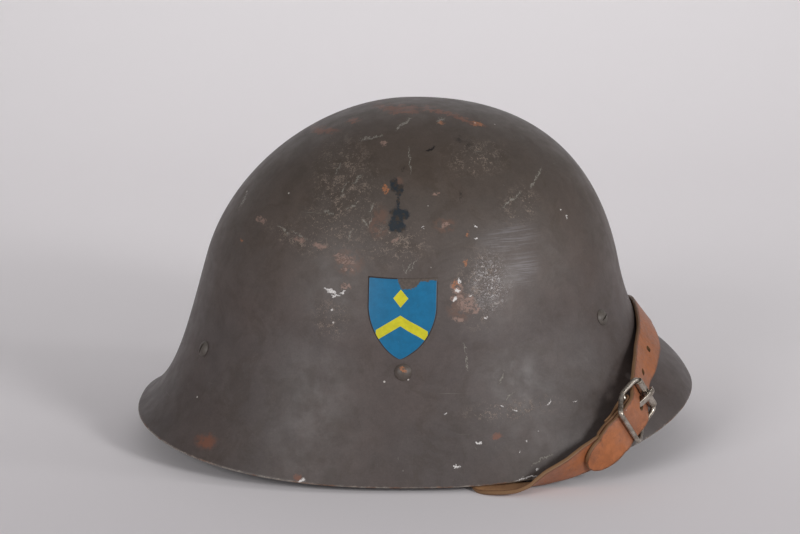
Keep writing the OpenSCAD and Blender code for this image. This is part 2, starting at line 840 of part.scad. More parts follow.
module buckle_frame() {
  w = frame_half_w;
  b = frame_half_w + frame_bow;
  color("silver")
    raised()
      on(buckle_seat) {
        wire([frame_reach, w, roller_bar_z], [0, b, 0], frame_wire);
        wire([0, b, 0], [-frame_reach, w, tail_bar_z], frame_wire);
        wire([-frame_reach, w, tail_bar_z], [-frame_reach, -w, tail_bar_z], frame_wire);
        wire([-frame_reach, -w, tail_bar_z], [0, -b, 0], frame_wire);
        wire([0, -b, 0], [frame_reach, -w, roller_bar_z], frame_wire);
        wire([frame_reach, -w, roller_bar_z], [frame_reach, w, roller_bar_z], bar_d);
        wire([0, -b, 0], [0, b, 0], bar_d);
        translate([frame_reach, -w, roller_bar_z])
          sphere(d = frame_wire + ball_swell, $fn = 80);
      }
}

module buckle_roller() {
  length = 2 * frame_half_w - frame_wire - 0.8;
  color("silver")
    raised()
      on(buckle_seat)
        translate([frame_reach, 0, roller_bar_z])
          rotate([90, 0, 0])
            translate([0, 0, -length / 2])
              ring_plate(roller_d, roller_bore_d, length);
}

module buckle_prong() {
  tip_z = roller_bar_z + roller_d / 2 + 0.1;
  root_z = prong_eye_d / 2 - prong_t;
  color("silver")
    raised()
      on(buckle_seat)
        difference() {
          union() {
            rotate([90, 0, 0])
              cylinder(d = prong_eye_d, h = prong_w, center = true);
            rotate([90, 0, 0])
              linear_extrude(height = prong_w, center = true)
                polygon([
                  [0, root_z], [0, root_z + prong_t], [2.5, root_z + prong_t + 0.1],
                  [frame_reach - 3.5, tip_z + prong_t - 0.6], [frame_reach - 1, tip_z + prong_t],
                  [frame_reach + 2, tip_z + prong_t - 0.1], [frame_reach + 3.6, tip_z + prong_t - 1.2],
                  [frame_reach + 2.8, tip_z - 0.2], [frame_reach + 1, tip_z], [frame_reach - 1, tip_z],
                  [frame_reach - 3, tip_z - 0.7], [3, root_z + 0.1]
                ]);
          }
          rotate([90, 0, 0])
            cylinder(d = prong_bore_d, h = prong_w + 2, center = true);
        }
}

shell();
liner_band();
band_spacers();
liner_screws();
liner_nuts();
leather_liner();
liner_rivets();
draw_lace();
front_pad();
rear_pad();
left_pad();
right_pad();
other_side() strap_rivet();  // left_strap_rivet
strap_rivet();  // right_strap_rivet
other_side() rivet_washer();  // left_rivet_washer
rivet_washer();  // right_rivet_washer
other_side() lug();  // left_lug
lug();  // right_lug
other_side() bail();  // left_bail
bail();  // right_bail
short_chin_strap();
long_chin_strap();
strap_end_rivets();
buckle_frame();
buckle_roller();
buckle_prong();
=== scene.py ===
"""Steel helmet with a leather liner and a chin strap stowed round its visor.

The helmet stands at z = 0 with +X to the front, +Y to the wearer's left and +Z
up. Shapes are worked out in millimetres and put into the meshes in metres.
"""

import logging
import math
from collections.abc import Callable
from dataclasses import dataclass, replace
from enum import Enum

import bpy
import numpy as np
from mathutils import Euler, Matrix, Vector


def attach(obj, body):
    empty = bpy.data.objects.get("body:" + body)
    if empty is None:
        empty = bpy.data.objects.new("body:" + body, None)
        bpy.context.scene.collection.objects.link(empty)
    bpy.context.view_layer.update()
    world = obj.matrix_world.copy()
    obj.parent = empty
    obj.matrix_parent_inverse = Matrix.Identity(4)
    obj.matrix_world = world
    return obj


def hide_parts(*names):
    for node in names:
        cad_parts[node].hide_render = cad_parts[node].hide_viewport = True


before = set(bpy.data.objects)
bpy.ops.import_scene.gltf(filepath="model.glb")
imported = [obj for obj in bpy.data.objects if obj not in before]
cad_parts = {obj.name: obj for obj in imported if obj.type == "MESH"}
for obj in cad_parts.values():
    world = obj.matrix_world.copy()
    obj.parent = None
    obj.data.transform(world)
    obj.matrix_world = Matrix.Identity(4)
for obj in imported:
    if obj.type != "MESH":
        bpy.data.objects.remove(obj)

MM = 0.001
Array = np.ndarray
Piece = bpy.types.Object
Material = bpy.types.Material
Socket = bpy.types.NodeSocket
Colour = tuple[int, int, int]
Pair = tuple[float, float]
Triple = tuple[float, float, float]
UP = np.array([0, 0, 1.0])
MIRROR = np.array([1, -1, 1])
log = logging.getLogger("helmet")


def unit(vectors: Array) -> Array:
    """Each vector divided by its own length."""
    return vectors / np.linalg.norm(vectors, axis=-1, keepdims=True)


def square_to(way: Array, vectors: Array) -> Array:
    """Each vector less its part along its way, as a unit vector."""
    way = unit(way)
    return unit(vectors - way * np.sum(way * vectors, axis=-1, keepdims=True))


def circle(count: int) -> Array:
    """Angles of so many even steps round a circle."""
    return np.linspace(0, 2 * np.pi, count, endpoint=False)


def stacked(*parts: Array | float) -> Array:
    """The parts, spread to one shape, along a new last axis."""
    return np.stack(np.broadcast_arrays(*parts), -1)


def powered(values: Array, power: Array | float) -> Array:
    """The size of each value raised to a power, with its sign kept: round a superellipse."""
    return np.sign(values) * np.abs(values) ** power


def halved(test: Callable[[Array], Array], low: Array, high: Array, steps: int) -> tuple[Array, Array]:
    """Where a test turns from true to false, between two bounds that are halved step by step.

    Args:
        test: true at the lower bound and false at the upper one.
        low: the lower bound.
        high: the upper bound.
        steps: number of steps.

    Returns:
        The two bounds.
    """
    for _ in range(steps):
        middle = (low + high) / 2
        true = test(middle)
        low, high = np.where(true, middle, low), np.where(true, high, middle)
    return low, high


def cubic(a: Array, b: Array, c: Array, d: Array | float, t: Array) -> Array:
    """Point of a cubic curve: the four points weighed by the cubic weights of t."""
    s = 1 - t
    return s**3 * a + 3 * t * s**2 * b + 3 * t**2 * s * c + t**3 * d


def linear(colour: Colour) -> tuple[float, float, float, float]:
    """A display colour from 0 to 255 as linear light, with full opacity."""
    part = np.array(colour) / 255
    light = np.where(part <= 0.04045, part / 12.92, ((part + 0.055) / 1.055) ** 2.4)
    return (*(float(x) for x in light), 1.0)


# Shape of the pressed shell and of what is laid out from it
@dataclass(frozen=True)
class Quarter:
    """Profile of one quarter of the shell, from the crown over the wall to the rim."""

    wall: Pair
    wall_angle: float
    crown_pull: float
    wall_pull: float
    rim: Pair
    rim_angle: float
    flare_pulls: Pair

    def point(self, ring: Array, crown: float) -> Array:
        """Reach and height at a ring: one cubic curve to the wall and one on to the rim.

        Args:
            ring: 0 at the crown, 1 at the wall and 2 at the rim.
            crown: height of the crown.

        Returns:
            The reach and height, along the last axis.
        """
        ring = np.asarray(ring, float)[..., None]
        top, wall, rim = np.array([0, crown]), np.array(self.wall), np.array(self.rim)
        lean = np.radians([[self.wall_angle], [self.rim_angle]])
        wall_way, rim_way = np.hstack([np.sin(lean), -np.cos(lean)])
        span = np.linalg.norm(rim - wall)
        upper = cubic(top, top + [self.crown_pull, 0], wall - wall_way * self.wall_pull, wall, ring)
        lower = cubic(
            wall,
            wall + wall_way * self.flare_pulls[0] * span,
            rim - rim_way * self.flare_pulls[1] * span,
            rim,
            ring - 1,
        )
        return np.where(ring <= 1, upper, lower)


@dataclass(frozen=True)
class ShellForm:
    """Outer face of the shell as a function of an azimuth from the front and a ring."""

    front: Quarter = Quarter(
        wall=(109, 90), wall_angle=11.3, crown_pull=63, wall_pull=55.5,
        rim=(149, 25.3), rim_angle=28.4, flare_pulls=(0.64, 0.32),
    )
    side: Quarter = Quarter(
        wall=(103, 60), wall_angle=6, crown_pull=60, wall_pull=70,
        rim=(122, 0), rim_angle=22, flare_pulls=(0.3, 0.3),
    )
    rear: Quarter = Quarter(
        wall=(110.5, 94.5), wall_angle=16.6, crown_pull=50, wall_pull=45.6,
        rim=(149, 14), rim_angle=65, flare_pulls=(0.42, 0.25),
    )
    crown: float = 175.5
    crown_square: float = 2.15
    rim_square: float = 2.4
    thickness: float = 1.1
    lift: float = 3.06
    band_height: float = 62.4
    band_slope: float = 0.081

    def point(self, azimuth: Array, ring: Array) -> Array:
        """Point of the outer face.

        The plan is a superellipse whose power goes from the crown's to the rim's, and
        the squared cosine shares the height between the profiles.

        Args:
            azimuth: degrees from the front, towards the left.
            ring: 0 at the crown, 1 at the wall and 2 at the rim.

        Returns:
            Points in millimetres, along the last axis.
        """
        azimuth, ring = np.broadcast_arrays(np.asarray(azimuth, float), np.asarray(ring, float))
        c, s = np.cos(np.radians(azimuth)), np.sin(np.radians(azimuth))
        ahead = (c >= 0)[..., None]
        long = np.where(ahead, self.front.point(ring, self.crown), self.rear.point(ring, self.crown))
        wide = self.side.point(ring, self.crown)
        share = np.clip(ring - 1, 0, None)
        power = 2 / (self.crown_square + (self.rim_square - self.crown_square) * share)
        x = long[..., 0] * powered(c, power)
        y = wide[..., 0] * powered(s, power)
        z = long[..., 1] * c**2 + wide[..., 1] * s**2 + self.lift
        return stacked(x, y, z)

    def normal(self, azimuth: Array, ring: Array) -> Array:
        """Outward direction: the cross product of small steps down and round the face."""
        turn, step, least = 0.5, 0.01, 0.004
        ring = np.maximum(ring, least)
        azimuth = np.asarray(azimuth, float)
        across = self.point(azimuth + turn, ring) - self.point(azimuth - turn, ring)
        down = self.point(azimuth, np.minimum(ring + step, 2)) - self.point(azimuth, ring - least)
        return unit(np.cross(down, across))

    def under(self, azimuth: Array, ring: Array, depth: Array | float) -> Array:
        """Point at a depth under the outer face, along its normal."""
        return self.point(azimuth, ring) - self.normal(azimuth, ring) * np.asarray(depth)[..., None]

    def band_ring(self, azimuth: Array, height: Array) -> Array:
        """Ring at which the face crosses the liner band's sloping plane, found by halving.

        Args:
            azimuth: degrees from the front.
            height: height over the band's middle line.

        Returns:
            The ring for each azimuth.
        """
        azimuth, height = np.broadcast_arrays(np.asarray(azimuth, float), np.asarray(height, float))

        def above(ring: Array) -> Array:
            """Whether the face at a ring lies above the height."""
            spot = self.point(azimuth, ring)
            return spot[..., 2] - self.lift - self.band_slope * spot[..., 0] > self.band_height + height

        return sum(halved(above, np.full(azimuth.shape, 0.7), np.full(azimuth.shape, 1.85), 18)) / 2


FORM = ShellForm()


@dataclass(frozen=True)
class Seat:
    """A place on the shell with its own axes, z along the outward normal."""

    origin: Array
    normal: Array
    turn: float = 0.0

    @classmethod
    def on_shell(cls, azimuth: float, ring: float, turn: float = 0.0) -> "Seat":
        """Seat at an azimuth and ring of the shell."""
        return cls(FORM.point(azimuth, ring), FORM.normal(azimuth, ring), turn)

    @property
    def level(self) -> Array:
        """Level direction across the normal."""
        return unit(np.array([-self.normal[1], self.normal[0], 0.0]))

    @property
    def axes(self) -> Array:
        """The x, y and z directions as three rows."""
        turn = np.radians(self.turn)
        x = self.level * np.cos(turn) + np.cross(self.normal, self.level) * np.sin(turn)
        return np.array([x, np.cross(self.normal, x), self.normal])

    def at(self, points: Array) -> Array:
        """Points given in the seat's axes, in the object's frame."""
        return self.origin + np.asarray(points, float) @ self.axes

    def carry(self, sections: Array) -> Array:
        """Strap sections given in the seat's axes, in the object's frame."""
        place, face = self.at(sections[:, :3]), sections[:, 3:6] @ self.axes
        return np.concatenate([place, face, sections[:, 6:8]], axis=1)


# Mesh building
def added(name: str, data: bpy.types.ID) -> Piece:
    """A new object of the scene that shows the data."""
    thing = bpy.data.objects.new(name, data)
    bpy.context.scene.collection.objects.link(thing)
    return thing


def fillet(corners: Array, radius: float, closed: bool, steps: int = 6) -> Array:
    """Path with its corners rounded: each corner becomes a quadratic curve that starts and
    ends at the radius from it.

    Args:
        corners: the polyline's points.
        radius: distance from a corner at which its curve starts.
        closed: whether the last point joins the first.
        steps: number of points of each curve, less one.

    Returns:
        The points of the rounded path.
    """
    corners = np.asarray(corners, float)
    before, after = np.roll(corners, 1, 0), np.roll(corners, -1, 0)
    start = corners + unit(before - corners) * radius
    end = corners + unit(after - corners) * radius
    t = np.linspace(0, 1, steps + 1)[None, :, None]
    bend = 2 * t * (1 - t) * corners[:, None]
    curves = (1 - t) ** 2 * start[:, None] + bend + t**2 * end[:, None]
    if closed:
        return curves.reshape(-1, corners.shape[1])
    middle = curves[1:-1].reshape(-1, corners.shape[1])
    return np.concatenate([corners[:1], middle, corners[-1:]])


def skin(
    name: str,
    rings: Array,
    looped: bool = False,
    uv: Array | None = None,
    values: dict[str, Array] | None = None,
) -> Piece:
    """Closed surface through rings of points, each joined to the next by quads.

    Open ends get a fan to the ring's middle, and the enclosed volume's sign turns the
    faces outwards.

    Args:
        name: the piece's name.
        rings: rows by columns by xyz, in millimetres; the columns close on themselves.
        looped: whether the last row joins the first.
        uv: rows + 1 by columns + 1 by 2 if looped, otherwise rows by columns + 1 by 2.
        values: point attributes, each rows by columns.

    Returns:
        The new object.
    """
    rows, cols = rings.shape[:2]
    spans = rows if looped else rows - 1
    i, k = np.meshgrid(np.arange(spans), np.arange(cols), indexing="ij")
    grid_i = np.stack([i, i, i + 1, i + 1], -1).reshape(-1, 4)
    grid_k = np.stack([k, k + 1, k + 1, k], -1).reshape(-1, 4)
    quads = grid_i % rows * cols + grid_k % cols
    points = rings.reshape(-1, 3)
    tris = np.zeros((0, 3), int)
    if not looped:
        around = np.arange(cols)
        first, last = len(points), len(points) + 1
        end = (rows - 1) * cols
        tris = np.concatenate([
            np.stack([np.full(cols, first), (around + 1) % cols, around], -1),
            np.stack([np.full(cols, last), end + around, end + (around + 1) % cols], -1),
        ])
        points = np.concatenate([points, rings[[0, -1]].mean(axis=1)])
    a, b, c, d = (points[quads[:, n]] for n in range(4))
    volume = np.einsum("ij,ij->", a, np.cross(b, c)) + np.einsum("ij,ij->", a, np.cross(c, d))
    turned = volume < 0
    if turned:
        quads, tris, grid_i, grid_k = (x[:, ::-1] for x in (quads, tris, grid_i, grid_k))
    mesh = bpy.data.meshes.new(name)
    mesh.from_pydata((points * MM).tolist(), [], quads.tolist() + tris.tolist())
    mesh.polygons.foreach_set("use_smooth", np.ones(len(quads) + len(tris), bool))
    if uv is not None:
        corners = uv[grid_i, grid_k].reshape(-1, 2) * MM
        ends = np.zeros((tris.size, 2))
        layer = mesh.uv_layers.new(name="UVMap")
        layer.data.foreach_set("uv", np.concatenate([corners, ends]).astype(np.float32).ravel())
    for label, value in (values or {}).items():
        flat = np.concatenate([value.ravel(), np.zeros(len(points) - value.size)])
        if not looped:
            flat[value.size:] = value[[0, -1]].mean(axis=1)
        mesh.attributes.new(label, "FLOAT", "POINT").data.foreach_set("value", flat.astype(np.float32))
    mesh.update()
    return added(name, mesh)


def tube(name: str, path: Array, radius: Array | float, reference: Array, closed: bool, sides: int) -> Piece:
    """Round wire along a path: at each point a circle square to the path's direction.

    Args:
        name: the piece's name.
        path: the points that the wire's middle follows.
        radius: radius at each point, or one for all.
        reference: a direction that the path never runs along.
        closed: whether the wire joins itself.
        sides: number of points round it.

    Returns:
        The new object.
    """
    if closed:
        way = unit(np.roll(path, -1, 0) - np.roll(path, 1, 0))
    else:
        way = unit(np.gradient(path, axis=0))
    across = unit(np.cross(way, reference))
    up = np.cross(across, way)
    angle = circle(sides)[None, :, None]
    size = np.broadcast_to(np.asarray(radius, float), len(path))[:, None, None]
    rings = path[:, None] + size * (np.cos(angle) * across[:, None] + np.sin(angle) * up[:, None])
    return skin(name, rings, looped=closed)


def turned(name: str, seats: list[Seat], profile: Array, sides: int = 48, looped: bool = False) -> Piece:
    """Pieces turned about the z axis of their seats: the profile's radius goes round the axis.

    Args:
        name: the piece's name.
        seats: where each copy lies.
        profile: radius and height of each point, from one end to the other.
        sides: number of points round it.
        looped: whether the profile closes on itself, as on a washer.

    Returns:
        The new object, with every copy in it.
    """
    angle = circle(sides)
    r, z = profile[:, :1], profile[:, 1:]
    ring = stacked(r * np.cos(angle), r * np.sin(angle), z)
    return joined(name, [skin(name, seat.at(ring), looped=looped) for seat in seats])


def joined(name: str, pieces: list[Piece]) -> Piece:
    """Several pieces as one object.

    Args:
        name: the object's name.
        pieces: the pieces, of which the first one takes up the rest.

    Returns:
        The first piece.
    """
    first = pieces[0]
    if len(pieces) > 1:
        with bpy.context.temp_override(
            active_object=first, selected_editable_objects=pieces, selected_objects=pieces
        ):
            bpy.ops.object.join()
    first.name = name
    return first


def settled(piece: Piece) -> Piece:
    """The piece with its modifiers worked into its mesh."""
    bpy.context.view_layer.update()
    graph = bpy.context.evaluated_depsgraph_get()
    mesh = bpy.data.meshes.new_from_object(piece.evaluated_get(graph))
    piece.modifiers.clear()
    piece.data = mesh
    return piece


def cut(piece: Piece, cutters: list[Piece]) -> Piece:
    """Cuts the cutters out of the piece and removes them; angles over 35 degrees stay sharp.

    Args:
        piece: the piece to cut.
        cutters: closed shapes.

    Returns:
        The piece.
    """
    for cutter in cutters:
        step = piece.modifiers.new("cut", "BOOLEAN")
        step.operation, step.solver, step.object = "DIFFERENCE", "MANIFOLD", cutter
    settled(piece)
    for cutter in cutters:
        bpy.data.objects.remove(cutter)
    piece.data.set_sharp_from_angle(angle=math.radians(35))
    return piece


def oblong(seat: Seat, centre: Triple, half: Pair, depth: float) -> Piece:
    """Cutter for a hole or slot: an upright prism whose outline is a superellipse.

    Args:
        seat: the seat in whose axes it stands.
        centre: its middle.
        half: half its length and width.
        depth: how far it goes to either side of its middle.

    Returns:
        The new object.
    """
    roundness = 0.6
    angle = circle(32)
    x, y = half[0] * powered(np.cos(angle), roundness), half[1] * powered(np.sin(angle), roundness)
    rings = stacked(x, y, np.array([[-depth], [depth]]))
    return skin("cutter", seat.at(rings + centre))


# Straps: each section is a place, the direction its face looks, and its half thickness and half width
def strap_rows(*columns: Array | float) -> Array:
    """Strap sections from their eight columns, where one number holds for all."""
    return stacked(*columns).astype(float)


def flipped(sections: Array) -> Array:
    """Strap sections on the other side of the helmet."""
    return sections * np.concatenate([MIRROR, MIRROR, [1, 1]])


def stowed(stations: Array, half_t: float = 1.1, half_w: float = 9.0) -> Array:
    """Strap sections on the left side of the shell.

    Args:
        stations: azimuth, ring, stand-off, drop and lean of the face, for each.
        half_t: half the strap's thickness.
        half_w: half its width.

    Returns:
        The sections.
    """
    azimuth, ring, off, drop, lean = np.asarray(stations, float).T
    out = unit(FORM.normal(azimuth, ring) * [1, 1, 0])
    place = FORM.point(azimuth, ring) + out * off[:, None] - UP * drop[:, None]
    lean = np.radians(lean)[:, None]
    face = out * np.cos(lean) + UP * np.sin(lean)
    return strap_rows(*place.T, *face.T, half_t, half_w)


def smooth(sections: Array, steps: int) -> Array:
    """Smooth path through its sections: on each span the Catmull-Rom cubic of four neighbours.

    Args:
        sections: the path's sections.
        steps: number of sections that each span becomes.

    Returns:
        The new sections.
    """
    last = len(sections) - 1
    at = np.arange(last)
    a, b = sections[np.maximum(at - 1, 0)][:, None], sections[at][:, None]
    c, d = sections[at + 1][:, None], sections[np.minimum(at + 2, last)][:, None]
    t = (np.arange(steps) / steps)[None, :, None]
    square, third = 2 * a - 5 * b + 4 * c - d, 3 * b - a - 3 * c + d
    spans = (2 * b + (c - a) * t + square * t**2 + third * t**3) / 2
    return np.concatenate([spans.reshape(-1, sections.shape[1]), sections[-1:]])


def lengths(sections: Array) -> Array:
    """Length along the path at each of its sections."""
    steps = np.linalg.norm(np.diff(sections[:, :3], axis=0), axis=1)
    return np.concatenate([[0], np.cumsum(steps)])


def refined(sections: Array, step: float) -> Array:
    """The same path in even steps: cubics whose slopes at a section come from the parabola
    through it and its two neighbours.

    Args:
        sections: the path's sections.
        step: length of a step, in millimetres.

    Returns:
        The new sections.
    """
    along = lengths(sections)
    gap = np.diff(along)[:, None]
    slope = np.diff(sections, axis=0) / gap
    middle = (gap[1:] * slope[:-1] + gap[:-1] * slope[1:]) / (gap[1:] + gap[:-1])
    slopes = np.concatenate([slope[:1], middle, slope[-1:]])
    at = np.linspace(0, along[-1], int(along[-1] / step) + 1)
    k = np.clip(np.searchsorted(along, at, side="right") - 1, 0, len(gap) - 1)
    h = gap[k]
    t = (at - along[k])[:, None] / h
    out = (2 * t**3 - 3 * t**2 + 1) * sections[k] + (t**3 - 2 * t**2 + t) * h * slopes[k]
    return out + (3 * t**2 - 2 * t**3) * sections[k + 1] + (t**3 - t**2) * h * slopes[k + 1]


def eased(sections: Array, start: float, end: float, spread: float) -> Array:
    """The same path with one stretch averaged over its neighbours, so that the strap
    doesn't bend sharply in its own plane there.

    Args:
        sections: the path's sections, about a millimetre apart.
        start: length at which the stretch starts.
        end: length at which it ends.
        spread: spread of the bell curve that weighs the neighbours, in millimetres.

    Returns:
        The new sections.
    """
    along = lengths(sections)
    weight = np.exp(-(((along[:, None] - along[None]) / spread) ** 2) / 2)
    mean = weight @ sections / weight.sum(axis=1, keepdims=True)
    share = np.clip(np.minimum(along - start, end - along) / (1.5 * spread) + 1, 0, 1)[:, None]
    share = share**2 * (3 - 2 * share)
    return sections + (mean - sections) * share


def resampled(sections: Array, at: Array) -> Array:
    """Sections at the given lengths along the path, by straight interpolation."""
    along = lengths(sections)
    return np.stack([np.interp(at, along, column) for column in sections.T], -1)


def rounded_end(sections: Array, radius: float) -> Array:
    """The same strap with a round end, where its half width follows a superellipse.

    Args:
        sections: the path's sections.
        radius: length of the round end.

    Returns:
        The new sections.
    """
    along = lengths(sections)
    keep = along[along < along[-1] - radius]
    angle = np.linspace(0, np.pi / 2, 15)[:-1]
    tip = along[-1] - radius * (1 - np.sin(angle))
    out = resampled(sections, np.concatenate([keep, tip]))
    out[len(keep):, 7] *= np.cos(angle) ** 0.85
    return out


@dataclass(frozen=True)
class Slab:
    """Section of a strap: a flat bar with round edges."""

    edge: float = 0.7
    face_points: int = 9
    edge_points: int = 5

    def outline(self) -> tuple[Array, Array, Array]:
        """The bar's outline.

        Returns:
            Share of the width, angle of the edge and side of the face, for each point.
        """
        flat = np.linspace(1, -1, self.face_points)[1:-1]
        arc = np.linspace(90, 180, self.edge_points)
        face, edge = np.ones(len(flat)), np.ones(len(arc))
        share = np.concatenate([flat, -edge, -edge, -flat, edge, edge])
        angle = np.concatenate([90 * face, arc, arc + 90, 270 * face, arc + 180, arc + 270])
        side = np.concatenate([face, edge, -edge, -face, -edge, edge])
        return share, np.radians(angle), side

    def ribbon(self, name: str, sections: Array, along: Array | None = None) -> Piece:
        """Strap along a path: the bar's outline carried square to the path's direction.

        Args:
            name: the piece's name.
            sections: the path's sections.
            along: length at each section, for the pattern; worked out if left out.

        Returns:
            The new object, with the attributes border (distance from the side, in
            millimetres), flesh (1 on the inner face) and run (length along it).
        """
        share, angle, side = self.outline()
        place, face = sections[:, :3], sections[:, 3:6]
        way = unit(np.gradient(place, axis=0))
        face = square_to(way, face)
        across = np.cross(way, face)
        half_t, half_w = sections[:, 6:7], sections[:, 7:8]
        edge = np.minimum(np.minimum(self.edge, half_t * 0.95), half_w)
        x = share * (half_w - edge) + edge * np.cos(angle)
        y = side * (half_t - edge) + edge * np.sin(angle)
        rings = place[:, None] + across[:, None] * x[..., None] + face[:, None] * y[..., None]
        along = lengths(sections) if along is None else along
        columns = len(share)
        around = np.linspace(0, 2 * float(half_w.max() + half_t.max()) * 2, columns + 1)
        uv = np.stack(np.meshgrid(along, around, indexing="ij"), -1)
        values = {
            "border": half_w - np.abs(x),
            "flesh": np.broadcast_to((side < 0) * 1.0, x.shape),
            "run": np.broadcast_to(along[:, None], x.shape),
        }
        return skin(name, rings, uv=uv, values=values)


# Camera of the photograph
@dataclass(frozen=True)
class PhotoView:
    """The photograph's camera: where it stands and how its picture is laid out, in pixels."""

    width: int = 800
    height: int = 534
    focal: float = 2045.9
    centre: Pair = (414.2, 265.9)
    pitch: float = 12.0
    roll: float = -0.286
    distance: float = 1100.0
    target: Triple = (0.0, 0.0, 88.06)

    @property
    def back(self) -> Array:
        """Direction from the target to the camera."""
        pitch = np.radians(self.pitch)
        return np.array([0, -np.cos(pitch), np.sin(pitch)])

    def pixels(self, points: Array) -> Array:
        """Pixel of each point: the point divided by its depth, turned by the roll."""
        offset = points - (np.array(self.target) + self.back * self.distance)
        depth = -offset @ self.back
        up = np.cross(self.back, [1.0, 0, 0])
        u, v = self.focal * offset[..., 0] / depth, -self.focal * (offset @ up) / depth
        roll = np.radians(self.roll)
        c, s = np.cos(roll), np.sin(roll)
        return stacked(u * c - v * s, u * s + v * c) + self.centre

    def on_shell(self, pixels: Array) -> Array:
        """Points of the shell's near side seen at the pixels: the nearest of a fine grid."""
        across, down = np.linspace(-178, -2, 700), np.linspace(0.05, 2, 500)
        azimuth, ring = np.meshgrid(across, down, indexing="ij")
        points = FORM.point(azimuth, ring).reshape(-1, 3)
        facing = FORM.normal(azimuth, ring).reshape(-1, 3) @ self.back > 0
        points = points[facing]
        gap = self.pixels(points)[None] - np.asarray(pixels, float)[:, None]
        return points[np.argmin((gap**2).sum(-1), axis=1)]

    def place_camera(self) -> None:
        """Makes the scene's camera."""
        data = bpy.data.cameras.new("photo_camera")
        data.sensor_width = 36
        data.lens = self.focal / self.width * data.sensor_width
        data.shift_x = (self.width / 2 - self.centre[0]) / self.width
        data.shift_y = (self.centre[1] - self.height / 2) / self.width
        data.clip_start, data.clip_end = 0.05, 30
        camera = added("photo_camera", data)
        turn = Euler((math.radians(90 - self.pitch), 0, math.radians(self.roll)), "ZYX")
        place = (np.array(self.target) + self.back * self.distance) * MM
        camera.matrix_world = Matrix.Translation(place) @ turn.to_matrix().to_4x4()
        bpy.context.scene.camera = camera


VIEW = PhotoView()


# Finishes
X, Y, Z = (1, 0, 0), (0, 1, 0), (0, 0, 1)


@dataclass(frozen=True)
class Patches:
    """Patches of noise with features 1 / scale millimetres apart, which a smooth step from
    low to high brings to a range."""

    scale: float
    low: float = 0.3
    high: float = 0.7
    to: Pair = (0.0, 1.0)
    detail: float = 5
    rough: float = 0.7
    warp: float = 0.0


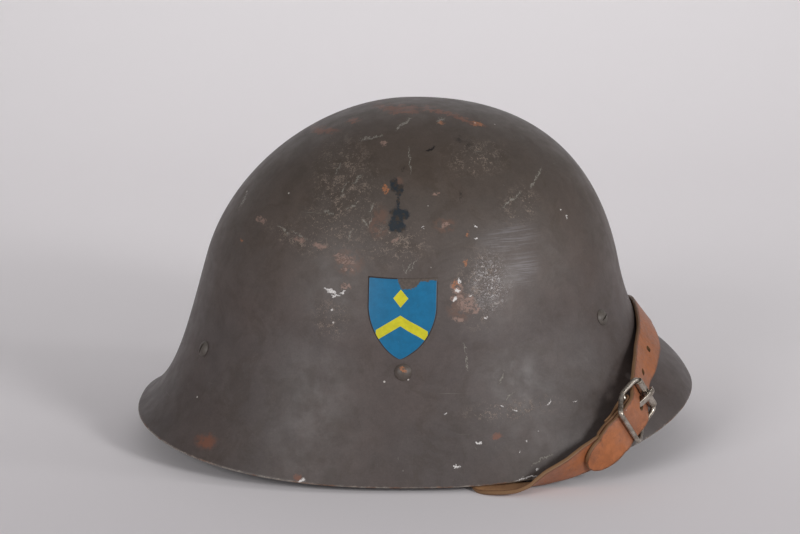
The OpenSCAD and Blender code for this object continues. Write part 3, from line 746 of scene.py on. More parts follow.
class Tree:
    """A material's node tree, with short calls for the nodes that the finishes use."""

    def __init__(self, name: str) -> None:
        """Starts the material with its shader and the place on the object in millimetres."""
        self.material = bpy.data.materials.new(name)
        self.material.use_nodes = True
        self.nodes, self.links = self.material.node_tree.nodes, self.material.node_tree.links
        self.nodes.clear()
        self.shader = self.nodes.new("ShaderNodeBsdfPrincipled")
        output = self.nodes.new("ShaderNodeOutputMaterial")
        self.links.new(self.shader.outputs[0], output.inputs[0])
        self.place = self.vector("SCALE", self.node("TexCoord", {}, "Object"), scale=1 / MM)

    def feed(self, target: Socket, value: object) -> None:
        """Links a socket, or sets its value."""
        if isinstance(value, Socket):
            self.links.new(value, target)
        else:
            target.default_value = value

    def set(self, **inputs: object) -> None:
        """Feeds the shader's sockets, named with underscores for spaces."""
        for name, value in inputs.items():
            self.feed(self.shader.inputs[name.replace("_", " ")], value)

    def node(self, kind: str, inputs: dict, output: str | int = 0, **settings: str) -> Socket:
        """Makes a node.

        Args:
            kind: end of the node type's name.
            inputs: what its sockets are fed, where it isn't None.
            output: the socket to return.
            settings: its other values.

        Returns:
            The chosen output.
        """
        node = self.nodes.new(f"ShaderNode{kind}")
        for name, value in settings.items():
            setattr(node, name, value)
        for key, value in inputs.items():
            if value is not None:
                self.feed(node.inputs[key], value)
        return node.outputs[output]

    def math(self, operation: str, *values: object) -> Socket:
        """Result of a Math node."""
        return self.node("Math", dict(enumerate(values)), operation=operation)

    def times(self, first: object, *others: object) -> Socket:
        """Product of numbers, from left to right."""
        for other in others:
            first = self.math("MULTIPLY", first, other)
        return first

    def most(self, a: object, b: object) -> Socket:
        """The larger of two numbers."""
        return self.math("MAXIMUM", a, b)

    def less(self, a: object, b: object) -> Socket:
        """The first number less the second."""
        return self.math("SUBTRACT", a, b)

    def vector(self, operation: str, a: object, b: object = None, scale: object = None) -> Socket:
        """Vector that a Vector Math node gives."""
        return self.node("VectorMath", {0: a, 1: b, "Scale": scale}, "Vector", operation=operation)

    def along(self, place: Socket, way: Triple) -> Socket:
        """How far a place lies along a direction: their dot product."""
        return self.node("VectorMath", {0: place, 1: way}, "Value", operation="DOT_PRODUCT")

    def moved(self, place: Socket, offset: object, scale: float = 1.0) -> Socket:
        """The place with an offset added, which is scaled first if it is a socket."""
        if isinstance(offset, Socket):
            offset = self.shade(offset, scale)
        return self.vector("ADD", place, offset)

    def stretched(self, factors: Triple, place: Socket | None = None) -> Socket:
        """The place with each axis multiplied."""
        return self.vector("MULTIPLY", place or self.place, factors)

    def noise(
        self,
        scale: float,
        detail: float = 3,
        rough: float = 0.5,
        place: Socket | None = None,
        output: str = "Fac",
        warp: float = 0.0,
    ) -> Socket:
        """Noise whose features are 1 / scale millimetres apart, as a number or a Color."""
        inputs = {"Scale": scale, "Detail": detail, "Roughness": rough, "Distortion": warp}
        return self.node("TexNoise", {"Vector": place or self.place, **inputs}, output)

    def patches(self, pattern: Patches, place: Socket | None = None) -> Socket:
        """The noise of a pattern, brought to its range."""
        noise = self.noise(pattern.scale, pattern.detail, pattern.rough, place, warp=pattern.warp)
        return self.ramp(noise, pattern.low, pattern.high, pattern.to)

    def uneven(self, pattern: Patches, middle: float, below: float, above: float) -> Socket:
        """The noise of a pattern as a value that strays to either side of its middle."""
        return self.patches(replace(pattern, to=(middle - below, middle + above)))

    def cells(self, scale: float, place: Socket | None = None) -> Socket:
        """Distance to the nearest of scattered points."""
        return self.node("TexVoronoi", {"Vector": place or self.place, "Scale": scale}, "Distance")

    def specks(self, scale: float, radii: Pair, rarity: float, place: Socket | None = None) -> Socket:
        """Round specks on those scattered points whose random colour has its red over the rarity."""
        far = self.cells(scale, place)
        pick = self.ramp(self.along(far.node.outputs["Color"], X), rarity, rarity + 0.04)
        return self.times(self.ramp(far, *radii), pick)

    def cracks(self, scale: float, place: Socket) -> Socket:
        """Distance to the nearest border between the cells of scattered points."""
        inputs = {"Vector": place, "Scale": scale}
        return self.node("TexVoronoi", inputs, "Distance", feature="DISTANCE_TO_EDGE")

    def ramp(self, value: Socket, low: float, high: float, to: Pair = (0.0, 1.0)) -> Socket:
        """Smooth step from low to high."""
        inputs = {"Value": value, "From Min": low, "From Max": high, "To Min": to[0], "To Max": to[1]}
        return self.node("MapRange", inputs, "Result", interpolation_type="SMOOTHSTEP")

    def blend(self, share: object, a: object, b: object) -> Socket:
        """Colour between a and b; a colour is given from 0 to 255."""
        a, b = (linear(value) if isinstance(value, tuple) else value for value in (a, b))
        return self.node("Mix", {0: share, 6: a, 7: b}, 2, data_type="RGBA")

    def mixed(self, share: object, a: object, b: object) -> Socket:
        """Number between a and b."""
        return self.node("Mix", {0: share, 2: a, 3: b})

    def shade(self, colour: object, amount: object) -> Socket:
        """Colour with its light multiplied by the amount."""
        return self.vector("SCALE", colour, scale=amount)

    def attribute(self, name: str) -> Socket:
        """Value of a point attribute."""
        return self.node("Attribute", {}, "Fac", attribute_name=name)

    def uv(self) -> Socket:
        """Place on the piece's own map, in millimetres."""
        return self.shade(self.node("UVMap", {}, uv_map="UVMap"), 1 / MM)

    def bump(self, height: Socket, depth: float, strength: float, under: Socket | None = None) -> Socket:
        """Normal of a relief whose height of 1 is so many millimetres deep."""
        inputs = {"Height": height, "Distance": depth * MM, "Strength": strength, "Normal": under}
        return self.node("Bump", inputs)


class Wear(Enum):
    """Kinds of mark on the paint, lowest first; glints and the sheen of the brushed lines are painted
    highlight.

    Each has its colour, the softness of its border, from 0 to 1, and whether it is a
    chip in the paint.
    """

    BARE = ((96, 74, 64), 0.5, False)
    RUST = ((112, 72, 56), 0.7, False)
    SMEAR = ((44, 37, 34), 0.8, False)
    FLAKES = ((146, 130, 118), 0.8, True)
    # Brushed lines under a painted sheen: a lighter purplish grey laid over the highlight.
    BRUSHED_AND_SHEEN = ((124, 120, 123), 0.9, False)
    GLINT = ((200, 196, 196), 0.9, True)
    TAN = ((132, 108, 98), 0.35, True)
    COPPER = ((150, 98, 66), 0.35, True)
    SCRATCH = ((126, 122, 114), 0.35, True)
    TAR = ((36, 42, 48), 0.3, False)
    WHITE = ((212, 208, 206), 0.35, True)
    NICK = ((22, 17, 16), 0.35, True)

    def __init__(self, colour: Colour, softness: float, chip: bool) -> None:
        """Gives the parts of the value their names."""
        self.colour, self.softness, self.chip = colour, softness, chip


@dataclass(frozen=True)
class Mark:
    """A mark on the paint: its pixel in the photograph, half sizes in millimetres and tilt."""

    kind: Wear
    pixel: Pair
    half: Pair
    tilt: float = 0.0


def marks(kind: Wear, *rows: tuple[float, ...]) -> tuple[Mark, ...]:
    """Marks of one kind.

    Args:
        kind: the kind of mark.
        rows: pixel across and down, half width, half height and, if it is turned, the tilt.

    Returns:
        The marks.
    """
    return tuple(Mark(kind, row[:2], row[2:4], *row[4:]) for row in rows)


MARKS = (
    *marks(
        Wear.TAR,
        (395, 185, 2.6, 3.8), (400, 190, 2.2, 3.0, -20), (398, 201, 1.0, 3.4), (398, 216, 4.2, 5.2),
        (404, 215, 3.4, 2.8, 20), (393, 226, 3.2, 3.6, 30), (400, 227, 3.4, 3.2),
    ),
    *marks(
        Wear.COPPER,
        (386, 189, 1.9, 2.4), (468, 234, 1.2, 2.0), (455, 284, 2.2, 3.2, 10), (465, 262, 0.9, 2.2),
        (241, 240, 1.0, 0.7), (403, 368, 1.6, 1.3), (478, 124, 3.5, 0.8, -18), (440, 122, 2.6, 0.5, -2),
    ),
    *marks(
        Wear.BARE,
        (460, 306, 8.0, 9.0), (380, 222, 6.5, 9.5, -12), (398, 182, 3.5, 3.0), (350, 262, 9.0, 7.5),
        (445, 225, 7.0, 4.0),
    ),
    *marks(
        Wear.RUST,
        (324, 131, 11.0, 1.3, 8), (353, 121, 5.0, 1.0, 10), (396, 108, 17.0, 1.0, 2),
        (404, 112, 12.0, 0.8, 1), (438, 111, 14.0, 0.9, -9), (468, 121, 13.0, 1.1, -16),
        (206, 441, 7.5, 4.2, 15), (298, 477, 2.5, 1.6), (497, 436, 3.6, 1.9, 12),
    ),
    *marks(
        Wear.TAN,
        (344, 257, 5.6, 1.1, -4), (345, 262, 6.0, 1.2, -6), (348, 269, 4.0, 0.8), (345, 286, 3.2, 1.6, 8),
        (384, 143, 2.3, 1.2, 10), (261, 220, 3.6, 1.7, -10), (300, 240, 3.6, 1.2, -10),
        (320, 246, 4.0, 1.6, -10), (456, 287, 3.4, 4.2, 20), (468, 304, 3.6, 5.2, -35), (458, 319, 3.4, 1.6),
        (445, 225, 2.6, 1.2, 30), (396, 239, 2.4, 1.0, 20), (436, 194, 2.0, 1.0), (461, 300, 2.2, 3.4, 30),
        (476, 308, 2.0, 2.8, 10), (452, 298, 2.0, 1.2, 20),
    ),
    *marks(
        Wear.WHITE,
        (330, 291, 3.4, 0.9, -10), (335, 295, 3.0, 0.7, -4), (342, 292, 2.0, 0.6, 20), (332, 311, 0.7, 0.6),
        (476, 227, 1.3, 0.5, -20), (476, 239, 1.2, 0.6), (460, 281, 0.7, 1.2), (458, 290, 1.0, 1.1, 30),
        (454, 300, 0.9, 1.6, -40), (471, 296, 0.8, 0.6), (561, 210, 0.6, 0.5), (567, 216, 0.5, 0.4),
        (301, 480, 2.2, 0.9, 20), (526, 478, 7.0, 0.4, 8), (537, 469, 0.8, 0.6), (458, 466, 1.8, 0.5, -10),
        (478, 443, 2.0, 0.55, -8), (503, 406, 0.6, 0.45), (550, 402, 1.7, 0.35, 25),
        (575, 401, 1.0, 0.3, 10), (516, 410, 1.2, 0.35), (445, 413, 1.0, 0.35, 12), (538, 431, 0.45, 0.4),
        (527, 442, 0.4, 0.4), (521, 450, 0.4, 0.4), (486, 318, 0.7, 0.5), (422, 226, 0.45, 0.4),
    ),
    *marks(Wear.NICK, (430, 149, 3.0, 0.55, 25)),
    *marks(
        Wear.SMEAR,
        (459, 140, 4.2, 1.8, -15), (468, 146, 3.2, 2.8), (404, 169, 2.2, 1.2, 40), (461, 196, 0.8, 3.4),
    ),
    *marks(
        Wear.SCRATCH,
        (543, 459, 7.6, 0.4, 20), (466, 358, 0.35, 9.0, 8), (502, 378, 4.5, 0.35, 75),
        (410, 160, 0.35, 7.5, 2), (371, 137, 8.0, 0.4, 12), (400, 126, 3.6, 0.6, 42),
        (406, 122, 3.2, 0.6, 35), (440, 120, 2.4, 0.6, 8), (536, 178, 6.5, 0.5, 52),
        (512, 199, 7.0, 0.6, 32), (243, 200, 5.5, 0.5, 62), (372, 208, 3.6, 0.5, 62),
        (366, 222, 2.6, 0.5, -50), (350, 235, 3.4, 0.4, 66), (284, 230, 4.2, 0.4, -28),
        (508, 398, 5.0, 0.35, 35), (409, 268, 3.5, 0.35, 55), (344, 190, 4.5, 0.35, 68),
        (357, 180, 3.6, 0.35, 40), (352, 205, 4.2, 0.35, 28), (329, 212, 3.0, 0.35, -20),
        (338, 168, 3.4, 0.4, 62), (370, 222, 3.2, 0.35, 78), (300, 236, 6.0, 0.35, -22),
        (414, 266, 4.2, 0.3, 58), (404, 268, 3.0, 0.3, -62),
    ),
    *marks(
        Wear.FLAKES,
        (345, 190, 24, 32), (335, 225, 26, 18), (395, 245, 24, 14), (480, 290, 18, 26),
        (300, 240, 24, 8, -12), (476, 158, 22, 11), (520, 205, 14, 12), (512, 409, 32, 7, 4),
        (330, 320, 12, 14),
    ),
    *marks(Wear.GLINT, (490, 283, 13.5, 19)),
    # Painted sheen with brushed lines across the highlight.
    *marks(Wear.BRUSHED_AND_SHEEN, (510, 238, 20, 11), (522, 268, 13, 12, 60)),
)


@dataclass(frozen=True)
class HelmetPaint:
    """Old grey-brown paint: clouded, scratched and specked, chipped here and there, and
    worn to bare steel along the rim."""

    brown: Colour = (81, 72, 68)
    green: Colour = (81, 74, 71)
    blotch: Colour = (66, 57, 50)
    tar_dust: Colour = (58, 50, 44)
    pit: Colour = (46, 38, 34)
    speck: Colour = (196, 190, 184)
    steel: Colour = (150, 142, 134)
    rust: Colour = (126, 92, 72)
    low_tint: Colour = (255, 252, 255)
    high_tint: Colour = (255, 250, 240)
    roughness: float = 0.47
    tar_roughness: float = 0.38
    rim_roughness: float = 0.42
    specular: float = 0.36
    marks: tuple[Mark, ...] = ()
    with_rim: bool = False
    clouds: Patches = Patches(0.016, 0.38, 0.62, detail=4, rough=0.6)
    blotches: Patches = Patches(0.055, 0.46, 0.62, detail=7, rough=0.75, warp=0.8)
    dirt: Patches = Patches(0.09, 0.3, 0.75, (0.9, 1.12), detail=7, rough=0.75)
    grain: Patches = Patches(1.1, to=(0.92, 1.08))
    sheen: Patches = Patches(0.12, rough=0.65)
    scratched: Patches = Patches(0.03, 0.45, 0.65, detail=3, rough=0.5)
    crumbs: Patches = Patches(0.8, 0.57, 0.62, detail=8, rough=0.75, warp=0.8)
    curled: Patches = Patches(0.22, 0.50, 0.58, detail=4, rough=0.5)
    torn: Patches = Patches(0.7, 0.42, 0.52, detail=6, rough=0.75)
    pitted: Patches = Patches(2.2, 0.36, 0.46, rough=0.75)
    smeared: Patches = Patches(0.5, 0.38, 0.56, detail=6, rough=0.75)
    bared: Patches = Patches(0.3, 0.42, 0.56, detail=6)
    rusted: Patches = Patches(0.25, 0.30, 0.50, detail=6)
    dusted: Patches = Patches(0.35, 0.45, 0.62)
    pits: Patches = Patches(0.75, 0.66, 0.70, detail=6, rough=0.8)
    rim_rust: Patches = Patches(0.12, 0.45, 0.6, detail=4, rough=0.5)

    def mask(self, tree: Tree, place: Socket, kind: Wear) -> Socket | None:
        """Where the marks of one kind lie: for each, one less its distance from the middle
        over its half sizes, and the largest of them."""
        chosen = [mark for mark in self.marks if mark.kind is kind]
        if not chosen:
            return None
        centres = VIEW.on_shell(np.array([mark.pixel for mark in chosen]))
        total = None
        for mark, centre in zip(chosen, centres):
            c, s = math.cos(math.radians(mark.tilt)), math.sin(math.radians(mark.tilt))
            offset = tree.vector("SUBTRACT", place, tuple(centre))
            a = tree.along(offset, (c / mark.half[0], 0, s / mark.half[0]))
            b = tree.along(offset, (-s / mark.half[1], 0, c / mark.half[1]))
            far = tree.math("SQRT", tree.math("MULTIPLY_ADD", a, a, tree.times(b, b)))
            near = tree.less(1.0, far)
            total = near if total is None else tree.most(total, near)
        return total

    def near_side(self, tree: Tree) -> Socket:
        """1 on the outer face of the right side, where the marks lie."""
        right = tree.ramp(tree.along(tree.place, Y), 12.0, -4.0)
        if self.with_rim:
            right = tree.times(right, tree.less(1.0, tree.attribute("inside")))
        return right

    def ground(self, tree: Tree, height: Socket) -> Socket:
        """The coat's colour: clouds, blotches and dirt, with painted shade at the foot and crown and a
        painted tint.
        """
        colour = tree.blend(tree.patches(self.clouds), self.brown, self.green)
        colour = tree.blend(tree.times(tree.patches(self.blotches), 0.4), colour, self.blotch)
        # Painted shade: darker towards the foot and the crown; the dirt product holds this shade as well as
        # the dirt and grain patches.
        foot, crown = tree.ramp(height, 5, 95, (0.86, 1.0)), tree.ramp(height, 100, 165, (1.0, 0.81))
        dirt = tree.times(tree.patches(self.dirt), tree.patches(self.grain), tree.times(foot, crown))
        # Painted tint of the light: purplish low down and warmer at the crown.
        tint = tree.blend(tree.ramp(height, 60, 160), self.low_tint, self.high_tint)
        return tree.vector("MULTIPLY", tree.shade(colour, dirt), tint)

    def broken_up(self, tree: Tree, place: Socket, drift: Socket) -> dict[Wear, Socket]:
        """How much of a mark shows, for flaked or torn kinds, painted glints and brushed lines under painted
        sheen.
        """
        curls = tree.ramp(tree.cracks(0.17, tree.moved(place, drift, 9.0)), 0.05, 0.02)
        curls = tree.times(curls, tree.patches(self.curled))
        strokes = tree.noise(1.0, 4, 0.7, tree.stretched((0.8, 0.8, 1.7), place))
        lines = tree.noise(1.0, 3, 0.6, tree.stretched((0.07, 0.07, 1.6)))
        torn = tree.times(tree.patches(self.torn), 0.9)
        return {
            Wear.FLAKES: tree.times(tree.most(tree.patches(self.crumbs), curls), 0.7),
            Wear.GLINT: tree.times(tree.ramp(strokes, 0.54, 0.61), 0.85),
            # Brushed lines over an even share of painted sheen.
            Wear.BRUSHED_AND_SHEEN: tree.math("MULTIPLY_ADD", tree.ramp(lines, 0.45, 0.6), 0.35, 0.12),
            Wear.WHITE: tree.times(tree.patches(self.pitted), 0.9),
            Wear.SMEAR: tree.times(tree.patches(self.smeared), 0.8),
            Wear.BARE: tree.times(tree.patches(self.bared), 0.8),
            Wear.RUST: tree.times(tree.patches(self.rusted), 0.85),
            **{kind: torn for kind in (Wear.TAN, Wear.COPPER, Wear.SCRATCH)},
        }

    def marked(self, tree: Tree, colour: Socket, rough: Socket) -> tuple[Socket, Socket, Socket | None]:
        """The coat with its marks, which noise shifts so that their outlines are ragged.

        Args:
            tree: the material's tree.
            colour: the coat's colour.
            rough: its roughness.

        Returns:
            The new colour and roughness, and where the paint is chipped.
        """
        half = (0.5, 0.5, 0.5)
        broad = tree.vector("SUBTRACT", tree.noise(0.3, 4, 0.7, output="Color"), half)
        small = tree.vector("SUBTRACT", tree.noise(1.1, 4, 0.7, output="Color"), half)
        place = tree.moved(tree.moved(tree.place, broad, 5.2), small, 1.9)
        near = self.near_side(tree)
        patterns = self.broken_up(tree, place, broad)
        chips = None
        for kind in Wear:
            spot = self.mask(tree, place, kind)
            if spot is None:
                continue
            share = tree.times(tree.ramp(spot, 0.0, kind.softness), near)
            if kind in patterns:
                share = tree.times(share, patterns[kind])
            tint = kind.colour
            if kind is Wear.TAR:
                tint = tree.blend(tree.patches(self.dusted), tint, self.tar_dust)
                rough = tree.mixed(share, rough, self.tar_roughness)
            colour = tree.blend(share, colour, tint)
            if kind.chip:
                chips = share if chips is None else tree.most(chips, share)
        return colour, rough, chips

    def fill(self, tree: Tree) -> None:
        """Lays the material's nodes."""
        height = tree.along(tree.place, Z)
        colour = self.ground(tree, height)
        streaks = tree.noise(1.0, 3, 0.6, tree.stretched((0.05, 0.05, 1.5)))
        fine = tree.noise(1.0, 3, 0.6, tree.stretched((0.7, 0.7, 0.06)), warp=0.6)
        hair = tree.most(tree.ramp(streaks, 0.69, 0.76), tree.ramp(fine, 0.70, 0.76))
        hair = tree.times(hair, tree.times(tree.patches(self.scratched), 0.5))
        colour = tree.blend(hair, colour, Wear.SCRATCH.colour)
        relief = tree.math("MULTIPLY_ADD", tree.noise(0.9, 3), 0.5, tree.times(streaks, 0.5))
        rough = tree.uneven(self.sheen, self.roughness, 0.05, 0.07)
        chips = None
        if self.marks:
            colour, rough, chips = self.marked(tree, colour, rough)
        pits = tree.patches(self.pits, tree.moved(tree.place, (40.0, 9.0, 3.0)))
        pits = tree.times(pits, tree.ramp(height, 95, 125, (0.15, 0.75)))
        colour = tree.blend(pits, colour, self.pit)
        specks = tree.specks(0.085, (0.055, 0.03), 0.74, tree.moved(tree.place, (3.0, 7.0, 5.0)))
        colour = tree.blend(tree.times(specks, 0.8), colour, self.speck)
        if self.with_rim:
            gap = tree.math("MULTIPLY_ADD", tree.noise(0.5, 5, 0.7), 2.6, tree.attribute("rim_gap"))
            worn = tree.ramp(gap, 2.5, 1.5)
            rusty = tree.blend(tree.patches(self.rim_rust), self.steel, self.rust)
            colour = tree.blend(tree.times(worn, 0.75), colour, rusty)
            rough = tree.mixed(worn, rough, self.rim_roughness)
        normal = tree.bump(relief, 0.05, 0.35)
        if chips is not None:
            normal = tree.bump(tree.less(1.0, chips), 0.08, 0.6, normal)
        tree.set(Base_Color=colour, Roughness=rough, Normal=normal, Specular_IOR_Level=self.specular)


@dataclass(frozen=True)
class StrapLeather:
    """Vegetable-tanned strap leather: orange-brown grain, dark worn edges and a pale rough back."""

    grain: Colour = (156, 93, 54)
    worn: Colour = (144, 94, 70)
    edge: Colour = (84, 54, 38)
    raw: Colour = (124, 95, 66)
    stain: Colour = (112, 70, 46)
    back: Colour = (164, 122, 84)
    back_worn: Colour = (140, 102, 70)
    speck: Colour = (214, 196, 178)
    roughness: float = 0.5
    back_roughness: float = 0.9
    specular: float = 0.4
    edge_width: float = 1.2
    clouds: Patches = Patches(0.05, 0.35, 0.65, rough=0.65)
    mottle: Patches = Patches(0.35, to=(0.80, 1.13), detail=7, rough=0.75)
    fibres: Patches = Patches(1.4, to=(0.85, 1.1), rough=0.8)
    stains: Patches = Patches(0.13, 0.52, 0.70, detail=6, rough=0.75, warp=0.6)
    creased: Patches = Patches(0.12, 0.48, 0.6, detail=3, rough=0.5)
    sheen: Patches = Patches(0.7, detail=4, rough=0.5)

    def fill(self, tree: Tree) -> None:
        """Lays the material's nodes."""
        clouds = tree.patches(self.clouds)
        colour = tree.shade(tree.blend(clouds, self.grain, self.worn), tree.patches(self.mottle))
        back = tree.shade(tree.blend(clouds, self.back, self.back_worn), tree.patches(self.fibres))
        flesh = tree.ramp(tree.attribute("flesh"), 0.4, 0.6)
        colour = tree.blend(flesh, colour, back)
        colour = tree.blend(tree.times(tree.patches(self.stains), 0.5), colour, self.stain)
        bent = tree.moved(tree.place, tree.noise(0.3, 4, 0.7, output="Color"), 7.0)
        creases = tree.times(tree.ramp(tree.cracks(0.16, bent), 0.05, 0.0), tree.patches(self.creased))
        # Painted shade in the creases: the crease lines are darkened with the edge colour.
        colour = tree.blend(tree.times(creases, 0.4), colour, self.edge)
        border = tree.attribute("border")
        ragged = tree.math("MULTIPLY_ADD", tree.noise(0.35, 4, 0.6), 1.2, border)
        dark = tree.ramp(ragged, self.edge_width + 1.1, 0.7)
        colour = tree.blend(tree.times(dark, 0.8), colour, self.edge)
        colour = tree.blend(tree.times(tree.ramp(border, 0.35, 0.05), 0.75), colour, self.raw)
        colour = tree.blend(tree.times(tree.specks(0.2, (0.08, 0.04), 0.8), 0.6), colour, self.speck)
        pores = tree.cells(2.2)
        wrinkle = tree.noise(1.0, 5, 0.6, tree.stretched((0.9, 0.9, 0.5)), warp=0.5)
        relief = tree.less(tree.math("MULTIPLY_ADD", pores, 0.4, wrinkle), tree.times(creases, 0.5))
        rough = tree.mixed(flesh, tree.uneven(self.sheen, self.roughness, 0.07, 0.1), self.back_roughness)
        normal = tree.bump(relief, 0.09, 0.55)
        tree.set(Base_Color=colour, Roughness=rough, Normal=normal, Specular_IOR_Level=self.specular)


@dataclass(frozen=True)
class LinerLeather:
    """Thin soft lining leather, darkened by use, with fine creases."""

    brown: Colour = (112, 74, 48)
    dark: Colour = (78, 50, 34)
    roughness: float = 0.62
    clouds: Patches = Patches(0.03, 0.35, 0.65, rough=0.65)
    mottle: Patches = Patches(0.5, to=(0.82, 1.14), detail=6, rough=0.75)
    sheen: Patches = Patches(0.3, detail=4, rough=0.5)

    def fill(self, tree: Tree) -> None:
        """Lays the material's nodes."""
        colour = tree.blend(tree.patches(self.clouds), self.brown, self.dark)
        colour = tree.shade(colour, tree.patches(self.mottle))
        pores = tree.cells(1.5)
        relief = tree.math("MULTIPLY_ADD", pores, 0.5, tree.noise(0.25, 6, 0.7, warp=1.2))
        rough = tree.uneven(self.sheen, self.roughness, 0.08, 0.1)
        tree.set(Base_Color=colour, Roughness=rough, Normal=tree.bump(relief, 0.22, 0.6))


@dataclass(frozen=True)
class Metal:
    """Bare metal: brushed a little, tarnished in patches and with some rust or dirt."""

    bright: Colour
    tarnish: Colour
    dirt: Colour = (86, 62, 46)
    roughness: float = 0.32
    dirt_roughness: float = 0.85
    dirt_share: float = 0.3
    tarnished: Patches = Patches(0.25, 0.4, 0.7, rough=0.65)
    fouled: Patches = Patches(0.35, 0.54, 0.66, detail=6)
    sheen: Patches = Patches(0.9, rough=0.5)

    def fill(self, tree: Tree) -> None:
        """Lays the material's nodes."""
        colour = tree.blend(tree.patches(self.tarnished), self.bright, self.tarnish)
        foul = tree.times(tree.patches(self.fouled), self.dirt_share)
        colour = tree.blend(foul, colour, self.dirt)
        hair = tree.noise(1.0, 3, 0.6, tree.stretched((0.5, 2.0, 2.0)))
        rough = tree.mixed(foul, tree.uneven(self.sheen, self.roughness, 0.07, 0.13), self.dirt_roughness)
        normal = tree.bump(hair, 0.02, 0.35)
        tree.set(Base_Color=colour, Roughness=rough, Metallic=tree.less(1.0, foul), Normal=normal)


@dataclass(frozen=True)
class Felt:
    """Pressed wool felt: matted fibres and a soft sheen."""

    wool: Colour = (152, 144, 126)
    shade: Colour = (120, 112, 98)
    roughness: float = 0.95
    sheen: float = 0.3
    mottle: Patches = Patches(0.1, to=(0.9, 1.08), detail=4, rough=0.5)

    def fill(self, tree: Tree) -> None:
        """Lays the material's nodes."""
        fibres = tree.noise(1.6, 7, 0.8, warp=2.5)
        colour = tree.blend(tree.ramp(fibres, 0.35, 0.65), self.shade, self.wool)
        colour = tree.shade(colour, tree.patches(self.mottle))
        tree.set(Base_Color=colour, Normal=tree.bump(fibres, 0.3, 0.7))
        tree.set(Roughness=self.roughness, Sheen_Weight=self.sheen)


@dataclass(frozen=True)
class ShieldPrint:
    """Printed transfer: a plain blue field with a yellow chevron under a lozenge, chipped
    through to the paint at its upper edge."""

    blue: Colour = (10, 98, 138)
    yellow: Colour = (192, 184, 34)
    outline: Colour = (52, 44, 42)
    rubbed: Colour = (170, 176, 170)
    paint: Colour = (80, 71, 65)
    print_roughness: float = 0.42
    paint_roughness: float = 0.55
    specular: float = 0.32
    top: float = 20.0
    chevron_slope: float = 0.62
    chevron_drop: float = 1.5
    chevron_half: float = 2.6
    chevron_reach: float = 12.6
    lozenge_height: float = 9.6
    lozenge_half: float = 4.6
    lozenge_slope: float = 1.25
    hollow_middle: float = 3.4
    fade: Patches = Patches(0.25, to=(0.9, 1.1), detail=6)
    rub: Patches = Patches(1.3, 0.66, 0.72, detail=6, rough=0.75)
    nicks: Patches = Patches(0.9, 0.70, 0.73, detail=6, rough=0.8, warp=0.6)
    paint_grain: Patches = Patches(0.9, to=(0.85, 1.2), rough=0.5)

    def device(self, tree: Tree, x: Socket, y: Socket) -> Socket:
        """How far a place lies inside the chevron or the lozenge, whichever is more."""
        wide = tree.math("ABSOLUTE", x)
        rise = tree.math("ADD", tree.math("MULTIPLY_ADD", wide, self.chevron_slope, y), self.chevron_drop)
        chevron = tree.less(self.chevron_half, tree.math("ABSOLUTE", rise))
        chevron = tree.math("MINIMUM", chevron, tree.less(self.chevron_reach, wide))
        tall = tree.math("ABSOLUTE", tree.less(y, self.lozenge_height))
        lozenge = tree.math("MULTIPLY_ADD", wide, self.lozenge_slope, tall)
        return tree.most(chevron, tree.less(self.lozenge_half, lozenge))

    def lost(self, tree: Tree, x: Socket, y: Socket) -> Socket:
        """Where the print is gone: a hollow and a ledge with a ragged edge at the top, and nicks."""
        across = tree.math("ABSOLUTE", tree.less(x, self.hollow_middle))
        hollow = tree.ramp(across, 7.0, 2.6, (-2.0, 5.6))
        ledge = tree.ramp(x, 2.0, 7.0, (-2.0, 1.5))
        ragged = tree.math("MULTIPLY_ADD", tree.noise(0.5, 6, 0.75), 8.0, -4.0)
        depth = tree.math("ADD", tree.most(hollow, ledge), ragged)
        gone = tree.ramp(tree.math("ADD", depth, tree.less(y, self.top)), -0.12, 0.12)
        return tree.most(gone, tree.patches(self.nicks))

    def fill(self, tree: Tree) -> None:
        """Lays the material's nodes on the shield's own map, x across and y up from its middle."""
        spot = tree.uv()
        x, y = tree.along(spot, X), tree.along(spot, Y)
        ink = tree.blend(tree.ramp(self.device(tree, x, y), -0.08, 0.08), self.blue, self.yellow)
        ink = tree.shade(ink, tree.patches(self.fade))
        ink = tree.blend(tree.times(tree.patches(self.rub), 0.5), ink, self.rubbed)
        ink = tree.blend(tree.ramp(tree.attribute("border"), 0.75, 0.45), ink, self.outline)
        lost = self.lost(tree, x, y)
        paint = tree.shade(linear(self.paint)[:3], tree.patches(self.paint_grain))
        colour = tree.blend(lost, ink, paint)
        rough = tree.mixed(lost, self.print_roughness, self.paint_roughness)
        normal = tree.bump(tree.less(1.0, lost), 0.05, 0.6)
        tree.set(Base_Color=colour, Roughness=rough, Normal=normal, Specular_IOR_Level=self.specular)


